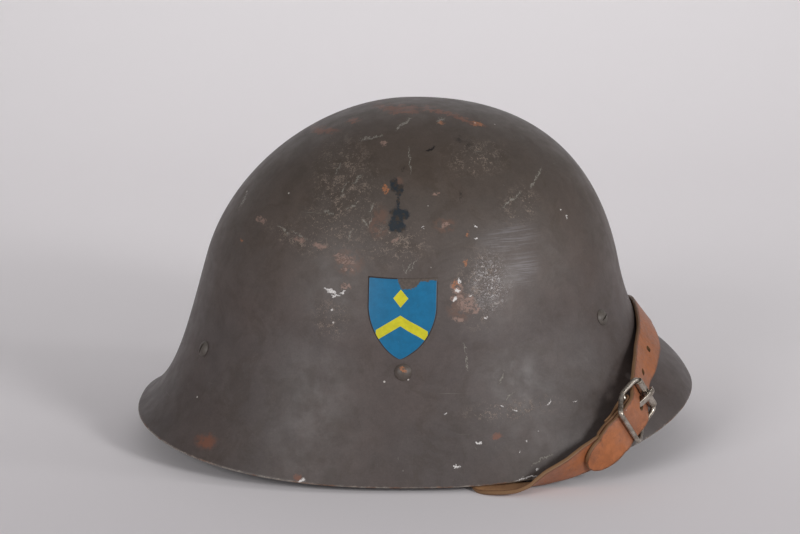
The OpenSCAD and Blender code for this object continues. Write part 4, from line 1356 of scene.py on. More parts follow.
class Finish(Enum):
    """The part's finishes: the record's slot and how the material is made."""

    SHELL = ("shell", HelmetPaint(marks=MARKS, with_rim=True))
    SHIELD = ("shell", ShieldPrint())
    SCREW_PAINT = ("screws", HelmetPaint(brown=(86, 78, 72), green=(84, 80, 74)))
    RIVET_PAINT = (
        "strap_rivets",
        HelmetPaint(
            brown=(84, 75, 69), green=(84, 79, 72), roughness=0.4,
            marks=marks(Wear.COPPER, (404, 369, 1.9, 1.5)),
        ),
    )
    STRAP = ("strap_leather", StrapLeather())
    LINER = ("liner_leather", LinerLeather())
    LACE = ("lace", LinerLeather(brown=(74, 46, 28), dark=(52, 32, 20)))
    BUCKLE = ("buckle", Metal((184, 176, 166), (134, 124, 112), (96, 72, 54), 0.3, dirt_share=0.5))
    FITTINGS = ("fittings", Metal((132, 126, 118), (98, 90, 82), (96, 62, 42), 0.42, dirt_share=0.6))
    PLAIN_STEEL = ("steel", Metal((124, 118, 112), (92, 86, 80), (92, 60, 42), 0.45, dirt_share=0.5))
    BAND = ("band", Metal((168, 166, 160), (136, 132, 126), (110, 100, 88), 0.45))
    LINER_BRASS = ("liner_rivets", Metal((176, 142, 84), (128, 98, 60), (70, 56, 40), 0.38))
    COPPER = ("end_rivets", Metal((168, 104, 74), (118, 74, 54), (70, 60, 46), 0.38))
    FELT = ("felt", Felt())

    def material(self) -> Material:
        """The finish's material, made at its first use."""
        name = f"finish_{self.name.lower()}"
        if name not in bpy.data.materials:
            self.value[1].fill(Tree(name))
        return bpy.data.materials[name]


def dress(piece: Piece, finish: Finish, node: str = "", body: str = "helmet") -> None:
    """Gives a piece its finish and place in the frame.

    Args:
        piece: the piece.
        finish: its finish.
        node: the frame's node that it stands for, if any.
        body: the body that it rides on.
    """
    piece.data.materials.clear()
    piece.data.materials.append(finish.material())
    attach(piece, body)
    if node:
        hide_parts(node)
    log.info("%s: %d faces, on %s", piece.name, len(piece.data.polygons), body)


# Sub-assemblies
@dataclass(frozen=True)
class Shell:
    """The pressed bowl and the transfer on its right side."""

    azimuths: int = 288
    rings: int = 96
    last_ring: float = 1.994
    lip_rings: tuple[float, ...] = (1.998, 2.0, 2.0, 1.998)
    lip_depths: tuple[float, ...] = (0.12, 0.35, 0.65, 0.88)
    shield_azimuth: float = -93.05
    shield_ring: float = 0.9
    shield_half: Pair = (17.2, 20.0)
    shield_lift: float = 0.1
    shield_sink: float = 0.02
    shoulder: float = 0.38
    side_power: float = 1.9
    tip_power: float = 0.72

    def build_bowl(self) -> Piece:
        """The bowl: the outer face down to the rim, round its edge and up the inner face."""
        azimuth = np.arange(self.azimuths) * 360 / self.azimuths
        ring = np.linspace(0, 2, self.rings + 1)[1:]
        ring[-1] = self.last_ring
        share = np.concatenate([np.zeros(self.rings), self.lip_depths, np.ones(self.rings)])
        rows = np.concatenate([ring, self.lip_rings, ring[::-1]])
        depth = np.broadcast_to(share[:, None] * FORM.thickness, (len(rows), self.azimuths))
        rings = FORM.under(azimuth[None], rows[:, None], depth)
        run = np.linalg.norm(np.diff(rings, axis=0), axis=2)
        from_top = np.concatenate([np.zeros((1, self.azimuths)), np.cumsum(run, axis=0)])
        edge = from_top[self.rings + 1:self.rings + 3].mean(axis=0)
        inside = (depth > FORM.thickness / 2) * 1.0
        return skin("helmet_shell", rings, values={"rim_gap": np.abs(from_top - edge), "inside": inside})

    def build_shield(self) -> Piece:
        """The transfer: a grid across and down a shield outline, laid on the bowl.

        Its half width stays even down to the shoulder and then follows a quarter
        of a superellipse to the tip.

        Returns:
            The new object, with its own map and the distance from its border.
        """
        rows, columns = 61, 41
        half_w, half_h = self.shield_half
        down = np.sin(np.linspace(0, 1, rows) * np.pi / 2)
        fall = np.clip((down - self.shoulder) / (1 - self.shoulder), 0, 1)
        width = np.maximum(half_w * (1 - fall**self.side_power) ** self.tip_power, 0.02)[:, None]
        x = np.linspace(-1, 1, columns)[None] * width
        y = np.broadcast_to((half_h - 2 * half_h * down)[:, None], x.shape)
        step = 0.05
        middle, level = self.shield_azimuth, self.shield_ring
        tall = FORM.point(middle, level + step) - FORM.point(middle, level - step)
        ring = level - y * 2 * step / np.linalg.norm(tall)
        wide = FORM.point(middle + step, ring) - FORM.point(middle - step, ring)
        azimuth = middle + x * 2 * step / np.linalg.norm(wide, axis=-1)
        outer = FORM.under(azimuth, ring, -self.shield_lift)
        inner = FORM.under(azimuth, ring, self.shield_sink)
        flat = stacked(x, y)
        border = np.minimum(width - np.abs(x), half_h - y)
        return skin(
            "shield_transfer",
            np.concatenate([outer, inner[:, ::-1]], axis=1),
            uv=np.concatenate([flat, flat[:, ::-1], flat[:, :1]], axis=1),
            values={"border": np.concatenate([border, border[:, ::-1]], axis=1)},
        )

    def build(self) -> None:
        """Makes both pieces."""
        dress(self.build_bowl(), Finish.SHELL, "shell")
        dress(self.build_shield(), Finish.SHIELD)


@dataclass(frozen=True)
class Liner:
    """The band, the tongued leather, its lace and the felt pads."""

    band_depth: float = 7.5
    band_t: float = 0.9
    band_half: float = 11.0
    leather_t: float = 1.8
    leather_gap: float = 0.2
    seam: float = 9.0
    tongues: int = 8
    rise_pull: float = 33.0
    least_turn_in: float = 18.0
    turn_in_room: float = 5.0
    tip_pull: float = 32.0
    tip_rise: float = 4.0
    gap_height: float = 132.0
    gap_reach: float = 28.0
    slit_start: float = 0.46
    slit_taper: float = 0.02
    slit_gaps: Pair = (2.6, 6.0)
    tip_start: float = 0.93
    sag: float = 1.1
    ripple: float = 0.35
    lace_line: float = 0.93
    lace_d: float = 2.4
    lace_spread: float = 9.0
    lace_swing: float = 3.3
    knot_size: Triple = (1.05, 1.05, 1.4)
    tails: tuple = (
        ((0.35, 0.8, -2.4), (0, 1.4, 0), 15.0),
        ((-1.2, -0.5, -2.2), (-0.6, -0.8, 0), 12.0),
    )
    pads: tuple = (("front", -25, 25), ("rear", 161, 199), ("left", 63, 117), ("right", -117, -63))
    pad_gap: float = 0.3
    pad_low: float = 3.5
    pad_high: float = 4.0

    @property
    def leather_depth(self) -> float:
        """Depth of the leather's middle under the shell's outer face, where it lies on the band."""
        return self.band_depth + self.band_t + self.leather_gap + self.leather_t / 2

    def leather_point(self, azimuth: Array, t: Array) -> Array:
        """Middle surface of the leather.

        From -1 to 0 it lies on the band, and from 0 to 1 it rises on a cubic
        curve to the tongue tips.

        Args:
            azimuth: degrees from the front.
            t: place along the rise.

        Returns:
            Points in millimetres.
        """
        azimuth, t = np.broadcast_arrays(np.asarray(azimuth, float), np.asarray(t, float))
        low = self.seam * (1 + np.minimum(t, 0)) - self.band_half
        flat = FORM.under(azimuth, FORM.band_ring(azimuth, low), self.leather_depth)
        foot_ring = FORM.band_ring(azimuth, self.seam - self.band_half)
        foot = FORM.under(azimuth, foot_ring, self.leather_depth)
        reach = np.linalg.norm(foot[..., :2], axis=-1)
        way = foot[..., :2] / reach[..., None]
        base, top = foot[..., 2], FORM.lift + self.gap_height
        rise = np.maximum(t, 0)
        seat = FORM.normal(azimuth, foot_ring)
        run = self.rise_pull * seat[..., 2] / np.linalg.norm(seat[..., :2], axis=-1)
        turn_in = np.maximum(self.least_turn_in, run + self.turn_in_room)
        out = cubic(reach, reach - turn_in, reach - self.tip_pull, self.gap_reach, rise)
        up = cubic(base, base + self.rise_pull, top - self.tip_rise, top, rise)
        risen = np.concatenate([way * out[..., None], up[..., None]], -1)
        return np.where((t <= 0)[..., None], flat, risen)

    def leather_normal(self, azimuth: Array, t: Array) -> Array:
        """Outward direction of the leather, from small steps along and round it."""
        above, below = np.minimum(t + 0.01, 1), np.maximum(t - 0.01, -1)
        up = self.leather_point(azimuth, above) - self.leather_point(azimuth, below)
        return unit(np.cross(self.leather_point(azimuth + 1, t) - self.leather_point(azimuth - 1, t), up))

    def build_leather(self) -> Piece:
        """The leather with its tongues.

        Each tongue is a closed sheet of two faces. Up to the slits it spans its
        whole sector, and above them its half angle leaves room for the slit and
        closes on a round tip. The middle of a tongue sags a little inwards.
        """
        ease = np.sin(np.linspace(0, 1, 8) * np.pi / 2)[1:]
        t = np.concatenate([
            np.linspace(-1, 0, 10)[:-1],
            np.linspace(0, self.slit_start, 16)[:-1],
            np.linspace(self.slit_start, 0.985, 30),
            1 - 0.015 * (1 - ease),
        ])
        across = np.sin(np.linspace(-1, 1, 25) * np.pi / 2)
        start = np.clip((t - self.slit_start) / (1 - self.slit_start), 0, 1)
        low_gap, high_gap = self.slit_gaps
        gap = np.where(t > self.slit_start, low_gap + (high_gap - low_gap) * start, 0)
        gap = gap * np.clip((t - self.slit_start) / self.slit_taper, 0, 1)
        tip = np.clip((t - self.tip_start) / (1 - self.tip_start), 0, 1)
        narrowing = np.sqrt(np.maximum(1 - tip**3, 0.0004))
        sag = self.sag * start[:, None] * (1 - across**2)[None] * np.sin(start * np.pi)[:, None]
        tongues = []
        for number in range(self.tongues):
            centre = number * 360 / self.tongues
            reach = np.linalg.norm(self.leather_point(np.full(t.shape, centre), t)[:, :2], axis=1)
            half = (180 / self.tongues - np.degrees(gap / 2 / reach)) * narrowing
            azimuth = centre + across[None] * half[:, None]
            rise = np.broadcast_to(t[:, None], azimuth.shape)
            normal = self.leather_normal(azimuth, rise)
            wave = self.ripple * np.sin(azimuth * 0.9 + 3 * rise) * np.clip(rise, 0, 1)
            middle = self.leather_point(azimuth, rise) - normal * (sag + wave)[..., None]
            side = normal * self.leather_t / 2
            tongues.append(skin("tongue", np.concatenate([middle + side, (middle - side)[:, ::-1]], axis=1)))
        return joined("liner_leather_tongued", tongues)

    def lace_point(self, azimuth: Array) -> Array:
        """Middle of the lace: it goes over each tongue between its holes and under each slit."""
        phase = np.radians(azimuth * self.tongues)
        x = 3 * (np.cos(phase) - math.cos(math.radians(self.lace_spread * self.tongues)))
        wave = self.lace_swing * x / np.sqrt(1 + x**2)
        return self.leather_point(azimuth, np.full(azimuth.shape, self.lace_line)) + wave[..., None] * UP

    def build_lace(self) -> Piece:
        """The lace, its knot, which is a trefoil curve, and its two tails."""
        radius, sides = self.lace_d / 2, 12
        ring = tube("lace", self.lace_point(np.arange(0, 360, 1.5)), radius, UP, True, sides)
        knot = self.lace_point(np.array([180 / self.tongues]))[0]
        turn = circle(40)
        x, y = np.sin(turn) + 2 * np.sin(2 * turn), np.cos(turn) - 2 * np.cos(2 * turn)
        bow = stacked(x, y, -np.sin(3 * turn))
        across_bow = np.array([0.3, 0.2, 1.0])
        trefoil = tube("knot", knot + bow * self.knot_size, radius * 0.95, across_bow, True, sides)
        fall = np.linspace(0, 1, 12)[:, None]
        tails = []
        for way, bend, length in self.tails:
            path = knot + unit(np.array(way)) * fall * length + np.array(bend) * np.sin(fall * np.pi) * 1.2
            tails.append(tube("tail", path, radius, np.array([1.0, 0.4, 0]), False, sides))
        return joined("draw_lace_knotted", [ring, trefoil, *tails])

    def leather_rise(self, azimuth: Array, height: Array) -> Array:
        """Place along the rise at which the leather reaches a height, found by halving."""

        def below(rise: Array) -> Array:
            """Whether the leather at a place along its rise lies below the height."""
            return self.leather_point(azimuth, rise)[..., 2] < height

        return halved(below, np.zeros(height.shape), np.full(height.shape, 0.8), 14)[0]

    def build_pad(self, name: str, start: float, end: float) -> Piece:
        """Felt pad between the band and the leather.

        Each upright section is a superellipse between the band's inner face and
        the leather, which swells in the middle and thins towards both ends.

        Args:
            name: the pad's name.
            start: azimuth of one end.
            end: azimuth of the other.

        Returns:
            The new object.
        """
        azimuth = np.linspace(start, end, 60)
        turn = circle(36)
        across, up = powered(np.cos(turn), 0.7), powered(np.sin(turn), 0.45)
        ends = np.clip(1 - np.abs(np.linspace(-1, 1, 60)) ** 14, 0.02, 1) ** 0.5
        low, high = self.seam + self.pad_low - self.band_half, self.band_half + self.pad_high
        height = (low + high) / 2 + (high - low) / 2 * up[None] * (0.9 + 0.1 * ends)[:, None]
        spread = np.broadcast_to(azimuth[:, None], height.shape)
        deep = self.band_depth + self.band_t + self.pad_gap
        back = FORM.under(spread, FORM.band_ring(spread, height), deep)
        rise = self.leather_rise(spread, back[..., 2])
        off = self.leather_normal(spread, rise) * (self.leather_t / 2 + self.pad_gap)
        front = self.leather_point(spread, rise) + off
        share = 0.5 + 0.5 * across[None] * ends[:, None]
        piece = skin(name, back + (front - back) * share[..., None])
        return piece

    def build_band(self) -> Piece:
        """The band: an upright strip with rounded edges, closed round the head."""
        edge, flat = 1.012, np.linspace(-1, 1, 9)
        azimuth = np.arange(0, 360, 1.5)
        height = np.concatenate([flat, [edge], flat[::-1], [-edge]]) * self.band_half
        depth = np.concatenate([0 * flat, [0.5], 0 * flat + 1, [0.5]]) * self.band_t + self.band_depth
        spread, tall = np.meshgrid(azimuth, height, indexing="ij")
        rings = FORM.under(spread, FORM.band_ring(spread, tall), depth)
        return skin("liner_band_rolled", rings, looped=True)

    def build(self) -> None:
        """Makes the pieces."""
        dress(self.build_band(), Finish.BAND, "liner_band")
        dress(self.build_leather(), Finish.LINER, "leather_liner")
        dress(self.build_lace(), Finish.LACE, "draw_lace")
        for side, start, end in self.pads:
            dress(self.build_pad(f"{side}_felt", start, end), Finish.FELT, f"{side}_pad")


@dataclass(frozen=True)
class StrapFittings:
    """Lugs under the strap rivets, and the bails hinged in them."""

    lug_azimuth: float = 92.2
    lug_ring: float = 1.11
    lug_turn: float = -51.0
    lug_half: float = 6.0
    lug_reach: float = 17.0
    lug_top: float = 1.5
    lug_t: float = 1.2
    bail_wire: float = 2.8
    bail_height: float = 9.15
    bail_lean: float = 10.4
    bail_half: float = 11.4
    bail_corner: float = 3.0
    eye_gap: float = 0.1
    eye_wall: float = 1.2

    @property
    def seat(self) -> Seat:
        """Seat of the right lug."""
        return Seat.on_shell(-self.lug_azimuth, self.lug_ring, self.lug_turn)

    @property
    def eye_depth(self) -> float:
        """Depth of the lug's eye under the shell's outer face."""
        return self.lug_top + (self.bail_wire + self.eye_gap) / 2 + self.eye_wall

    @property
    def low_wire(self) -> Pair:
        """Reach and depth of the bail's lower cross wire."""
        lean = math.radians(self.bail_lean)
        out, down = self.bail_height * math.cos(lean), self.bail_height * math.sin(lean)
        return self.lug_reach + out, self.eye_depth + down

    def lug_sections(self) -> Array:
        """Sections of the lug in its seat's axes: a round-ended plate that rolls into its eye."""
        half_t = self.lug_t / 2
        depth = self.lug_top + half_t
        tip = -self.lug_half * np.cos(np.linspace(0, np.pi / 2, 9))
        flat = np.concatenate([tip, [6.0, 12.0, self.lug_reach]])
        width = np.where(flat < 0, np.sqrt(np.maximum(self.lug_half**2 - flat**2, 0.04)), self.lug_half)
        plate = strap_rows(flat, 0, -depth, 0, 0, 1, half_t, width)
        turn = np.radians(np.linspace(15, 315, 21))
        c, s = np.cos(turn), np.sin(turn)
        r = self.eye_depth - depth
        roll = strap_rows(self.lug_reach + r * s, 0, r * c - self.eye_depth, s, 0, c, half_t, self.lug_half)
        return np.concatenate([plate, roll])

    def build(self) -> None:
        """Makes the lugs and bails."""
        lug = self.seat.carry(self.lug_sections())
        reach, depth = self.low_wire
        half = self.bail_half
        eye = [self.lug_reach, half, -self.eye_depth]
        low = [reach, half, -depth]
        corners = np.array([eye * MIRROR, eye, low, low * MIRROR])
        loop = self.seat.at(fillet(corners, self.bail_corner, True, 8))
        slab = Slab(edge=0.3, face_points=7, edge_points=4)
        for side, turn in (("right", np.ones(3)), ("left", MIRROR)):
            plate = slab.ribbon(f"{side}_lug_rolled", lug * np.concatenate([turn, turn, [1, 1]]))
            dress(plate, Finish.FITTINGS, f"{side}_lug")
            radius, reference = self.bail_wire / 2, self.seat.normal * turn
            wire = tube(f"{side}_bail_wire", loop * turn, radius, reference, True, 24)
            dress(wire, Finish.FITTINGS, f"{side}_bail", f"{side}_bail")


def dome(diameter: float, height: float, base: float, shank: float) -> Array:
    """Profile of a domed head: a circle's arc down to a short upright side, then in to the shank.

    Args:
        diameter: across the head.
        height: of the head.
        base: height of the head's underside.
        shank: diameter of the shank.

    Returns:
        Radius and height of each point.
    """
    side, chamfer = 0.25, 0.1
    r = diameter / 2
    ball = (r**2 + height**2) / (2 * height)
    x = r * np.sin(np.linspace(0, 1, 12) * np.pi / 2)
    z = np.sqrt(ball**2 - x**2) - (ball - height)
    top = stacked(x, base + side + (height - side) / height * z)
    return np.concatenate([top, [[r, base + side], [r - chamfer, base], [shank / 2, base]]])


def shanked(head: Array, reach: float) -> Array:
    """A head's profile with its shank carried down to a depth."""
    return np.concatenate([head, [[head[-1, 0], -reach]]])


@dataclass(frozen=True)
class Fasteners:
    """Screws, rivets, washers and spacers.

    A head is its diameter and height, and the other profiles are lists of radius and
    height over the shell's outer face.
    """

    screw_azimuths: tuple[float, ...] = (-32.6, 32.6, -151.8, 151.8)
    slot_turns: tuple[float, ...] = (28.0, -50.0, 75.0, 12.0)
    slot_half: Pair = (6.0, 0.55)
    slot_top: float = 3.2
    slot_depth: float = 2.0
    shank: float = 4.0
    screw_head: Pair = (8.4, 2.0)
    screw_lift: float = 0.05
    screw_reach: float = 8.6
    strap_head: Pair = (8.6, 2.2)
    strap_lift: float = 0.02
    clench: tuple = ((2.0, -3.75), (2.5, -3.75), (3.2, -4.6), (2.9, -4.95), (1.2, -4.9))
    washer: tuple = ((2.1, -2.8), (4.5, -2.8), (4.5, -3.55), (2.1, -3.55))
    spacer: tuple = ((2.25, -1.4), (4, -1.4), (4, -4.1), (2.25, -4.1))
    liner_rivets: int = 12
    liner_head: Pair = (6.4, 1.4)
    liner_back: Pair = (6.4, 1.0)
    liner_shank: float = 3.0
    liner_base: float = 0.3
    liner_end: float = 0.2
    liner: Liner = Liner()
    fittings: StrapFittings = StrapFittings()

    @property
    def screw_seats(self) -> list[Seat]:
        """Seats of the liner screws, each turned as its slot is."""
        return [
            Seat.on_shell(azimuth, float(FORM.band_ring(azimuth, 0.0)), turn)
            for azimuth, turn in zip(self.screw_azimuths, self.slot_turns)
        ]

    def build_screws(self) -> None:
        """Makes the liner screws."""
        seats = self.screw_seats
        head = dome(*self.screw_head, self.screw_lift, self.shank)
        screws = turned("liner_screws_slotted", seats, shanked(head, self.screw_reach))
        slots = [oblong(seat, (0, 0, self.slot_top), self.slot_half, self.slot_depth) for seat in seats]
        dress(cut(screws, slots), Finish.SCREW_PAINT, "liner_screws")

    def build_strap_rivet(self, side: str, azimuth: float) -> None:
        """Makes one strap rivet, clenched over its washer."""
        seat = Seat.on_shell(azimuth, self.fittings.lug_ring)
        head = dome(*self.strap_head, self.strap_lift, self.shank)
        rivet = turned(f"{side}_rivet_domed", [seat], np.concatenate([head, self.clench]))
        dress(rivet, Finish.RIVET_PAINT, f"{side}_strap_rivet")
        ring = fillet(self.washer, 0.2, True, 3)
        washer = turned(f"{side}_washer_turned", [seat], ring, looped=True)
        dress(washer, Finish.PLAIN_STEEL, f"{side}_rivet_washer")

    def build_spacers(self) -> None:
        """Makes the spacers between the shell and the nuts."""
        ring = fillet(self.spacer, 0.25, True, 3)
        spacers = turned("band_spacers_turned", self.screw_seats, ring, looped=True)
        dress(spacers, Finish.PLAIN_STEEL, "band_spacers")

    def build_liner_rivets(self) -> None:
        """Makes the rivets that hold the leather to the band: a head on each end of a shank."""
        azimuths = (np.arange(self.liner_rivets) + 0.5) * 360 / self.liner_rivets
        rings = FORM.band_ring(azimuths, self.liner.seam / 2 - self.liner.band_half)
        seats = [Seat.on_shell(float(azimuth), float(ring)) for azimuth, ring in zip(azimuths, rings)]
        reach = self.liner.leather_depth + self.liner.leather_t / 2 + self.liner_end
        outer = dome(*self.liner_head, self.liner_base - self.liner.band_depth, self.liner_shank)
        inner = dome(*self.liner_back, 0, self.liner_shank)[:-1][::-1] * [1, -1] - [0, reach]
        rivets = turned("liner_rivets_domed", seats, np.concatenate([outer, inner]), 32)
        dress(rivets, Finish.LINER_BRASS, "liner_rivets")

    def build(self) -> None:
        """Makes the pieces."""
        self.build_screws()
        self.build_strap_rivet("left", self.fittings.lug_azimuth)
        self.build_strap_rivet("right", -self.fittings.lug_azimuth)
        self.build_spacers()
        self.build_liner_rivets()


@dataclass(frozen=True)
class Buckle:
    """The roller buckle on the right: frame, roller and prong."""

    station: tuple[float, ...] = (43.8, 1.67, 10.5, 0, 9.7)
    yaw: float = 15.0
    turn: float = 34.7
    reach: float = 12.0
    half_width: float = 10.7
    bow: float = 1.0
    corner: float = 3.0
    roller_height: float = 2.4
    tail_height: float = 4.9
    wire: float = 2.6
    bar: float = 2.4
    roller: float = 4.4
    roller_gaps: Pair = (0.06, 0.45)
    roller_lip: Pair = (0.1, 0.8)
    seam_angle: float = 4.0
    prong_t: float = 1.5
    prong_half: float = 1.5
    prong_gap: float = 0.15

    @property
    def seat(self) -> Seat:
        """Seat at the middle of the centre bar, its x axis towards the roller."""
        section = flipped(stowed([self.station]))[0]
        c, s = math.cos(math.radians(self.yaw)), math.sin(math.radians(self.yaw))
        x, y, z = section[3:6]
        return Seat(section[:3], np.array([c * x - s * y, s * x + c * y, z]), self.turn)

    def build_frame(self) -> Piece:
        """The frame: one bent wire with bowed sides, thinner under the roller, and the centre
        bar between them."""
        w, b, r = self.half_width, self.half_width + self.bow, self.reach
        side = np.array([[r, w, self.roller_height], [0, b, 0], [-r, w, self.tail_height]])
        path = fillet(np.concatenate([side, side[::-1] * MIRROR]), self.corner, True, 10)
        radius = np.where(path[:, 0] > r - 0.3, self.bar / 2, self.wire / 2)
        loop = tube("frame", self.seat.at(path), radius, self.seat.normal, True, 28)
        across = self.seat.at(np.outer([-1, -0.5, 0, 0.5, 1], [0, b, 0]))
        bar = tube("bar", across, self.bar / 2, self.seat.normal, False, 24)
        return joined("buckle_frame_bent", [loop, bar])

    def build_roller(self) -> Piece:
        """The roller: a thin tube with rolled ends and a seam, turned about its bar."""
        bore_gap, end_gap = self.roller_gaps
        lip, slope = self.roller_lip
        outer, inner = self.roller / 2, self.bar / 2 + bore_gap
        half = self.half_width - self.wire / 2 - end_gap
        end = np.array([[inner, -half], [outer - lip, -half], [outer, slope - half]])
        profile = fillet(np.concatenate([end, end[::-1] * [1, -1]]), 0.25, True, 4)
        radius, along = profile[:, :1], profile[:, 1][:, None, None]
        angle = circle(40)
        seam = 1 - 0.05 * np.exp(-((angle - self.seam_angle) / 0.1) ** 2)
        r = (radius * np.where(radius > inner + 0.5, seam, 1))[..., None]
        x, y, z = self.seat.axes
        middle = self.seat.at([self.reach, 0, self.roller_height])
        ring = middle + r * (np.cos(angle)[:, None] * x + np.sin(angle)[:, None] * z) + along * y
        return skin("buckle_roller_tube", ring, looped=True)

    def build_prong(self) -> Piece:
        """The prong: a flat bar that wraps round the centre bar and lies over the roller."""
        turn = np.radians(np.linspace(-50, -250, 15))
        wrap_half = self.prong_t * 0.35
        eye = self.bar / 2 + 0.1 + wrap_half
        wrap = stacked(eye * np.cos(turn), eye * np.sin(turn))
        top = self.roller_height + self.roller / 2 + self.prong_gap + self.prong_t / 2
        run = [
            [0.4, eye + 0.02], [2.4, eye + 0.25], [5.2, eye + 1.6], [8.2, top - 0.6],
            [10.2, top - 0.02], [12.4, top + 0.05], [14.2, top - 0.1], [15.4, top - 0.55],
        ]
        line = np.concatenate([wrap, run])
        way = unit(np.gradient(line, axis=0))
        thick = np.concatenate([
            np.full(len(wrap), wrap_half), np.full(len(run) - 1, self.prong_t / 2), [0.45],
        ])
        wide = np.full(len(line), self.prong_half)
        wide[-2:] -= (0.05, 0.35)
        sections = strap_rows(line[:, 0], 0, line[:, 1], -way[:, 1], 0, way[:, 0], thick, wide)
        slab = Slab(edge=0.35, face_points=5, edge_points=4)
        return slab.ribbon("buckle_prong_flat", self.seat.carry(smooth(sections, 4)))

    def build(self) -> None:
        """Makes the three pieces."""
        dress(self.build_frame(), Finish.BUCKLE, "buckle_frame")
        dress(self.build_roller(), Finish.BUCKLE, "buckle_roller", "roller")
        dress(self.build_prong(), Finish.BUCKLE, "buckle_prong", "prong")


@dataclass(frozen=True)
class ChinStrap:
    """The two leather straps, stowed round the front of the visor.

    The stations of front, side and rim are those of stowed(). The rows of the ends are
    in their seat's axes: along the strap, down or up, and the lean of the face.
    """

    thickness: float = 2.2
    fold_t: float = 1.6
    width: float = 18.0
    hole_pitch: float = 22.5
    holes: int = 2
    hole_half: Pair = (1.9, 1.5)
    tail_gap: float = 0.85
    tip_radius: float = 9.5
    step: float = 1.0
    rim_ease: Triple = (70, 86, 2.5)
    billet_ease: Triple = (48, 18, 6)
    rivet_head: Pair = (6.0, 1.2)
    rivet_lift: float = 0.1
    rivet_shank: float = 2.4
    rivet_reach: float = 1.8
    fittings: StrapFittings = StrapFittings()
    buckle: Buckle = Buckle()
    front: tuple = (
        (0, 1.311, 3.0, 0, 36), (8, 1.334, 3.4, 0, 38), (16, 1.372, 4.4, 0, 38), (23, 1.414, 4.9, 0, 32),
        (29, 1.46, 6.0, 0, 26),
    )
    side: tuple = (
        (34, 1.53, 5.4, 0, 23), (40, 1.64, 5.0, 0, 17), (45, 1.755, 5.4, 0, 12), (50, 1.835, 6.1, 0, 2),
    )
    rim: tuple = (
        (55, 1.875, 6.6, 0, -10), (60, 1.9, 7.0, 0, -24), (64, 1.935, 6.6, 0, -38), (68, 1.97, 5.1, 0, -52),
        (71.5, 2, 2.7, 1.4, -70), (74.5, 2, 1.0, 2.1, -86), (77, 2, -0.6, 2.2, -90),
        (78.6, 2, -3.0, 2.2, -92), (79.2, 2, -5.4, 1.4, -115), (79.4, 2, -6.4, -1.6, -165),
        (80.2, 2, -7.0, -5.0, -178),
    )
    lug_lap: tuple = ((45, 0.1, 0.16), (41, 1.7, 0.12), (36, 3.3, 0.05))
    lug_run: tuple = ((38, 5.2, 0.06), (45, 2.3, 0.16), (52, 0.4, 0.2))
    buckle_run: tuple = (
        (-20, 0.2, -2.0, 0.12), (-16, 0.1, -1.0, 0.06), (-12, 0, -0.1, 0.02), (-6, 0, 1.3, 0),
    )
    buckle_lap: tuple = ((-6, 0, -2.3), (-11, 0, -2.3), (-16, 0.1, -3.7))
    lead: tuple = ((32, -1.0, -10.6), (22, -0.2, -6.0), (17, 0, -3.4))
    through: tuple = (
        (12, 0, -1.4), (7.5, 0, 0.6), (3, 0, 3.3), (0, 0, 4.2), (-4, 0, 4.0), (-8, 0, 3.1), (-12, 0, 2.2),
    )

    @property
    def halves(self) -> Triple:
        """Half thickness of the strap and of its folds, and half width."""
        return self.thickness / 2, self.fold_t / 2, self.width / 2

    def lug_end(self) -> Array:
        """The strap's end folded round the right bail's lower wire: lap, bend and run."""
        half_t, fold, half_w = self.halves
        reach, depth = self.fittings.low_wire
        loop = self.fittings.bail_wire / 2 + 1.0 + fold
        x, down, lean = np.array(self.lug_lap).T
        lap = strap_rows(x, 0, -down, 0, lean, 1, fold, half_w)
        turn = np.radians(np.arange(0, 181, 30))
        c, s = np.cos(turn), np.sin(turn)
        bend = strap_rows(reach - loop * s, 0, loop * c - depth, -s, 0, c, fold, half_w)
        x, down, lean = np.array(self.lug_run).T
        run = strap_rows(x, 0, -down, 0, -lean, -1, half_t, half_w)
        return self.fittings.seat.carry(np.concatenate([lap, bend, run]))

    def buckle_end(self) -> Array:
        """The short strap's end folded round the buckle's centre bar: run, bend and lap."""
        half_t, fold, half_w = self.halves
        radius = self.buckle.bar / 2 + 0.05 + fold
        x, y, z, lean = np.array(self.buckle_run).T
        run = strap_rows(x, y, z, 0, lean, 1, np.where(x < -15, half_t, fold), half_w)
        turn = np.radians(np.arange(0, 181, 30))
        c, s = np.cos(turn), np.sin(turn)
        bend = strap_rows(radius * s, 0, radius * c, s, 0, c, fold, half_w)
        lap = strap_rows(*np.array(self.buckle_lap).T, 0, 0, -1, fold, half_w)
        return self.buckle.seat.carry(np.concatenate([run, bend, lap]))

    def short_path(self) -> Array:
        """Sections of the short strap, from its bail to the buckle."""
        rim = flipped(stowed(self.rim)[::-1])
        path = smooth(np.concatenate([self.lug_end(), rim, self.buckle_end()]), 2)
        return eased(refined(path, self.step), *self.rim_ease)

    def long_path(self) -> tuple[Array, float]:
        """Sections of the long strap, which goes round the front and through the buckle.

        Returns:
            The sections from its bail to its tip, and the length at its used hole.
        """
        half_t, _, half_w = self.halves
        left = [stowed(stations)[::-1] for stations in (self.rim, self.side, self.front)]
        start = np.concatenate([flipped(self.lug_end()), *left, flipped(stowed(self.front)[1:])])
        billet = strap_rows(*np.array(self.lead + self.through).T, 0, 0, 1, half_t, half_w)
        tail = np.concatenate([self.buckle_end()[1::-1], flipped(stowed(self.rim[:2]))])
        tail[:, :3] += tail[:, 3:6] * (self.thickness + self.tail_gap)
        tail[:, 6:8] = [half_t, half_w]
        path = smooth(np.concatenate([start, self.buckle.seat.carry(billet), tail]), 2)
        used_at = float(lengths(path)[(len(start) + len(self.lead) + 1) * 2])
        path = eased(refined(path, self.step), *self.rim_ease)
        before, after, spread = self.billet_ease
        path = eased(path, used_at - before, used_at - after, spread)
        return rounded_end(path, self.tip_radius), used_at

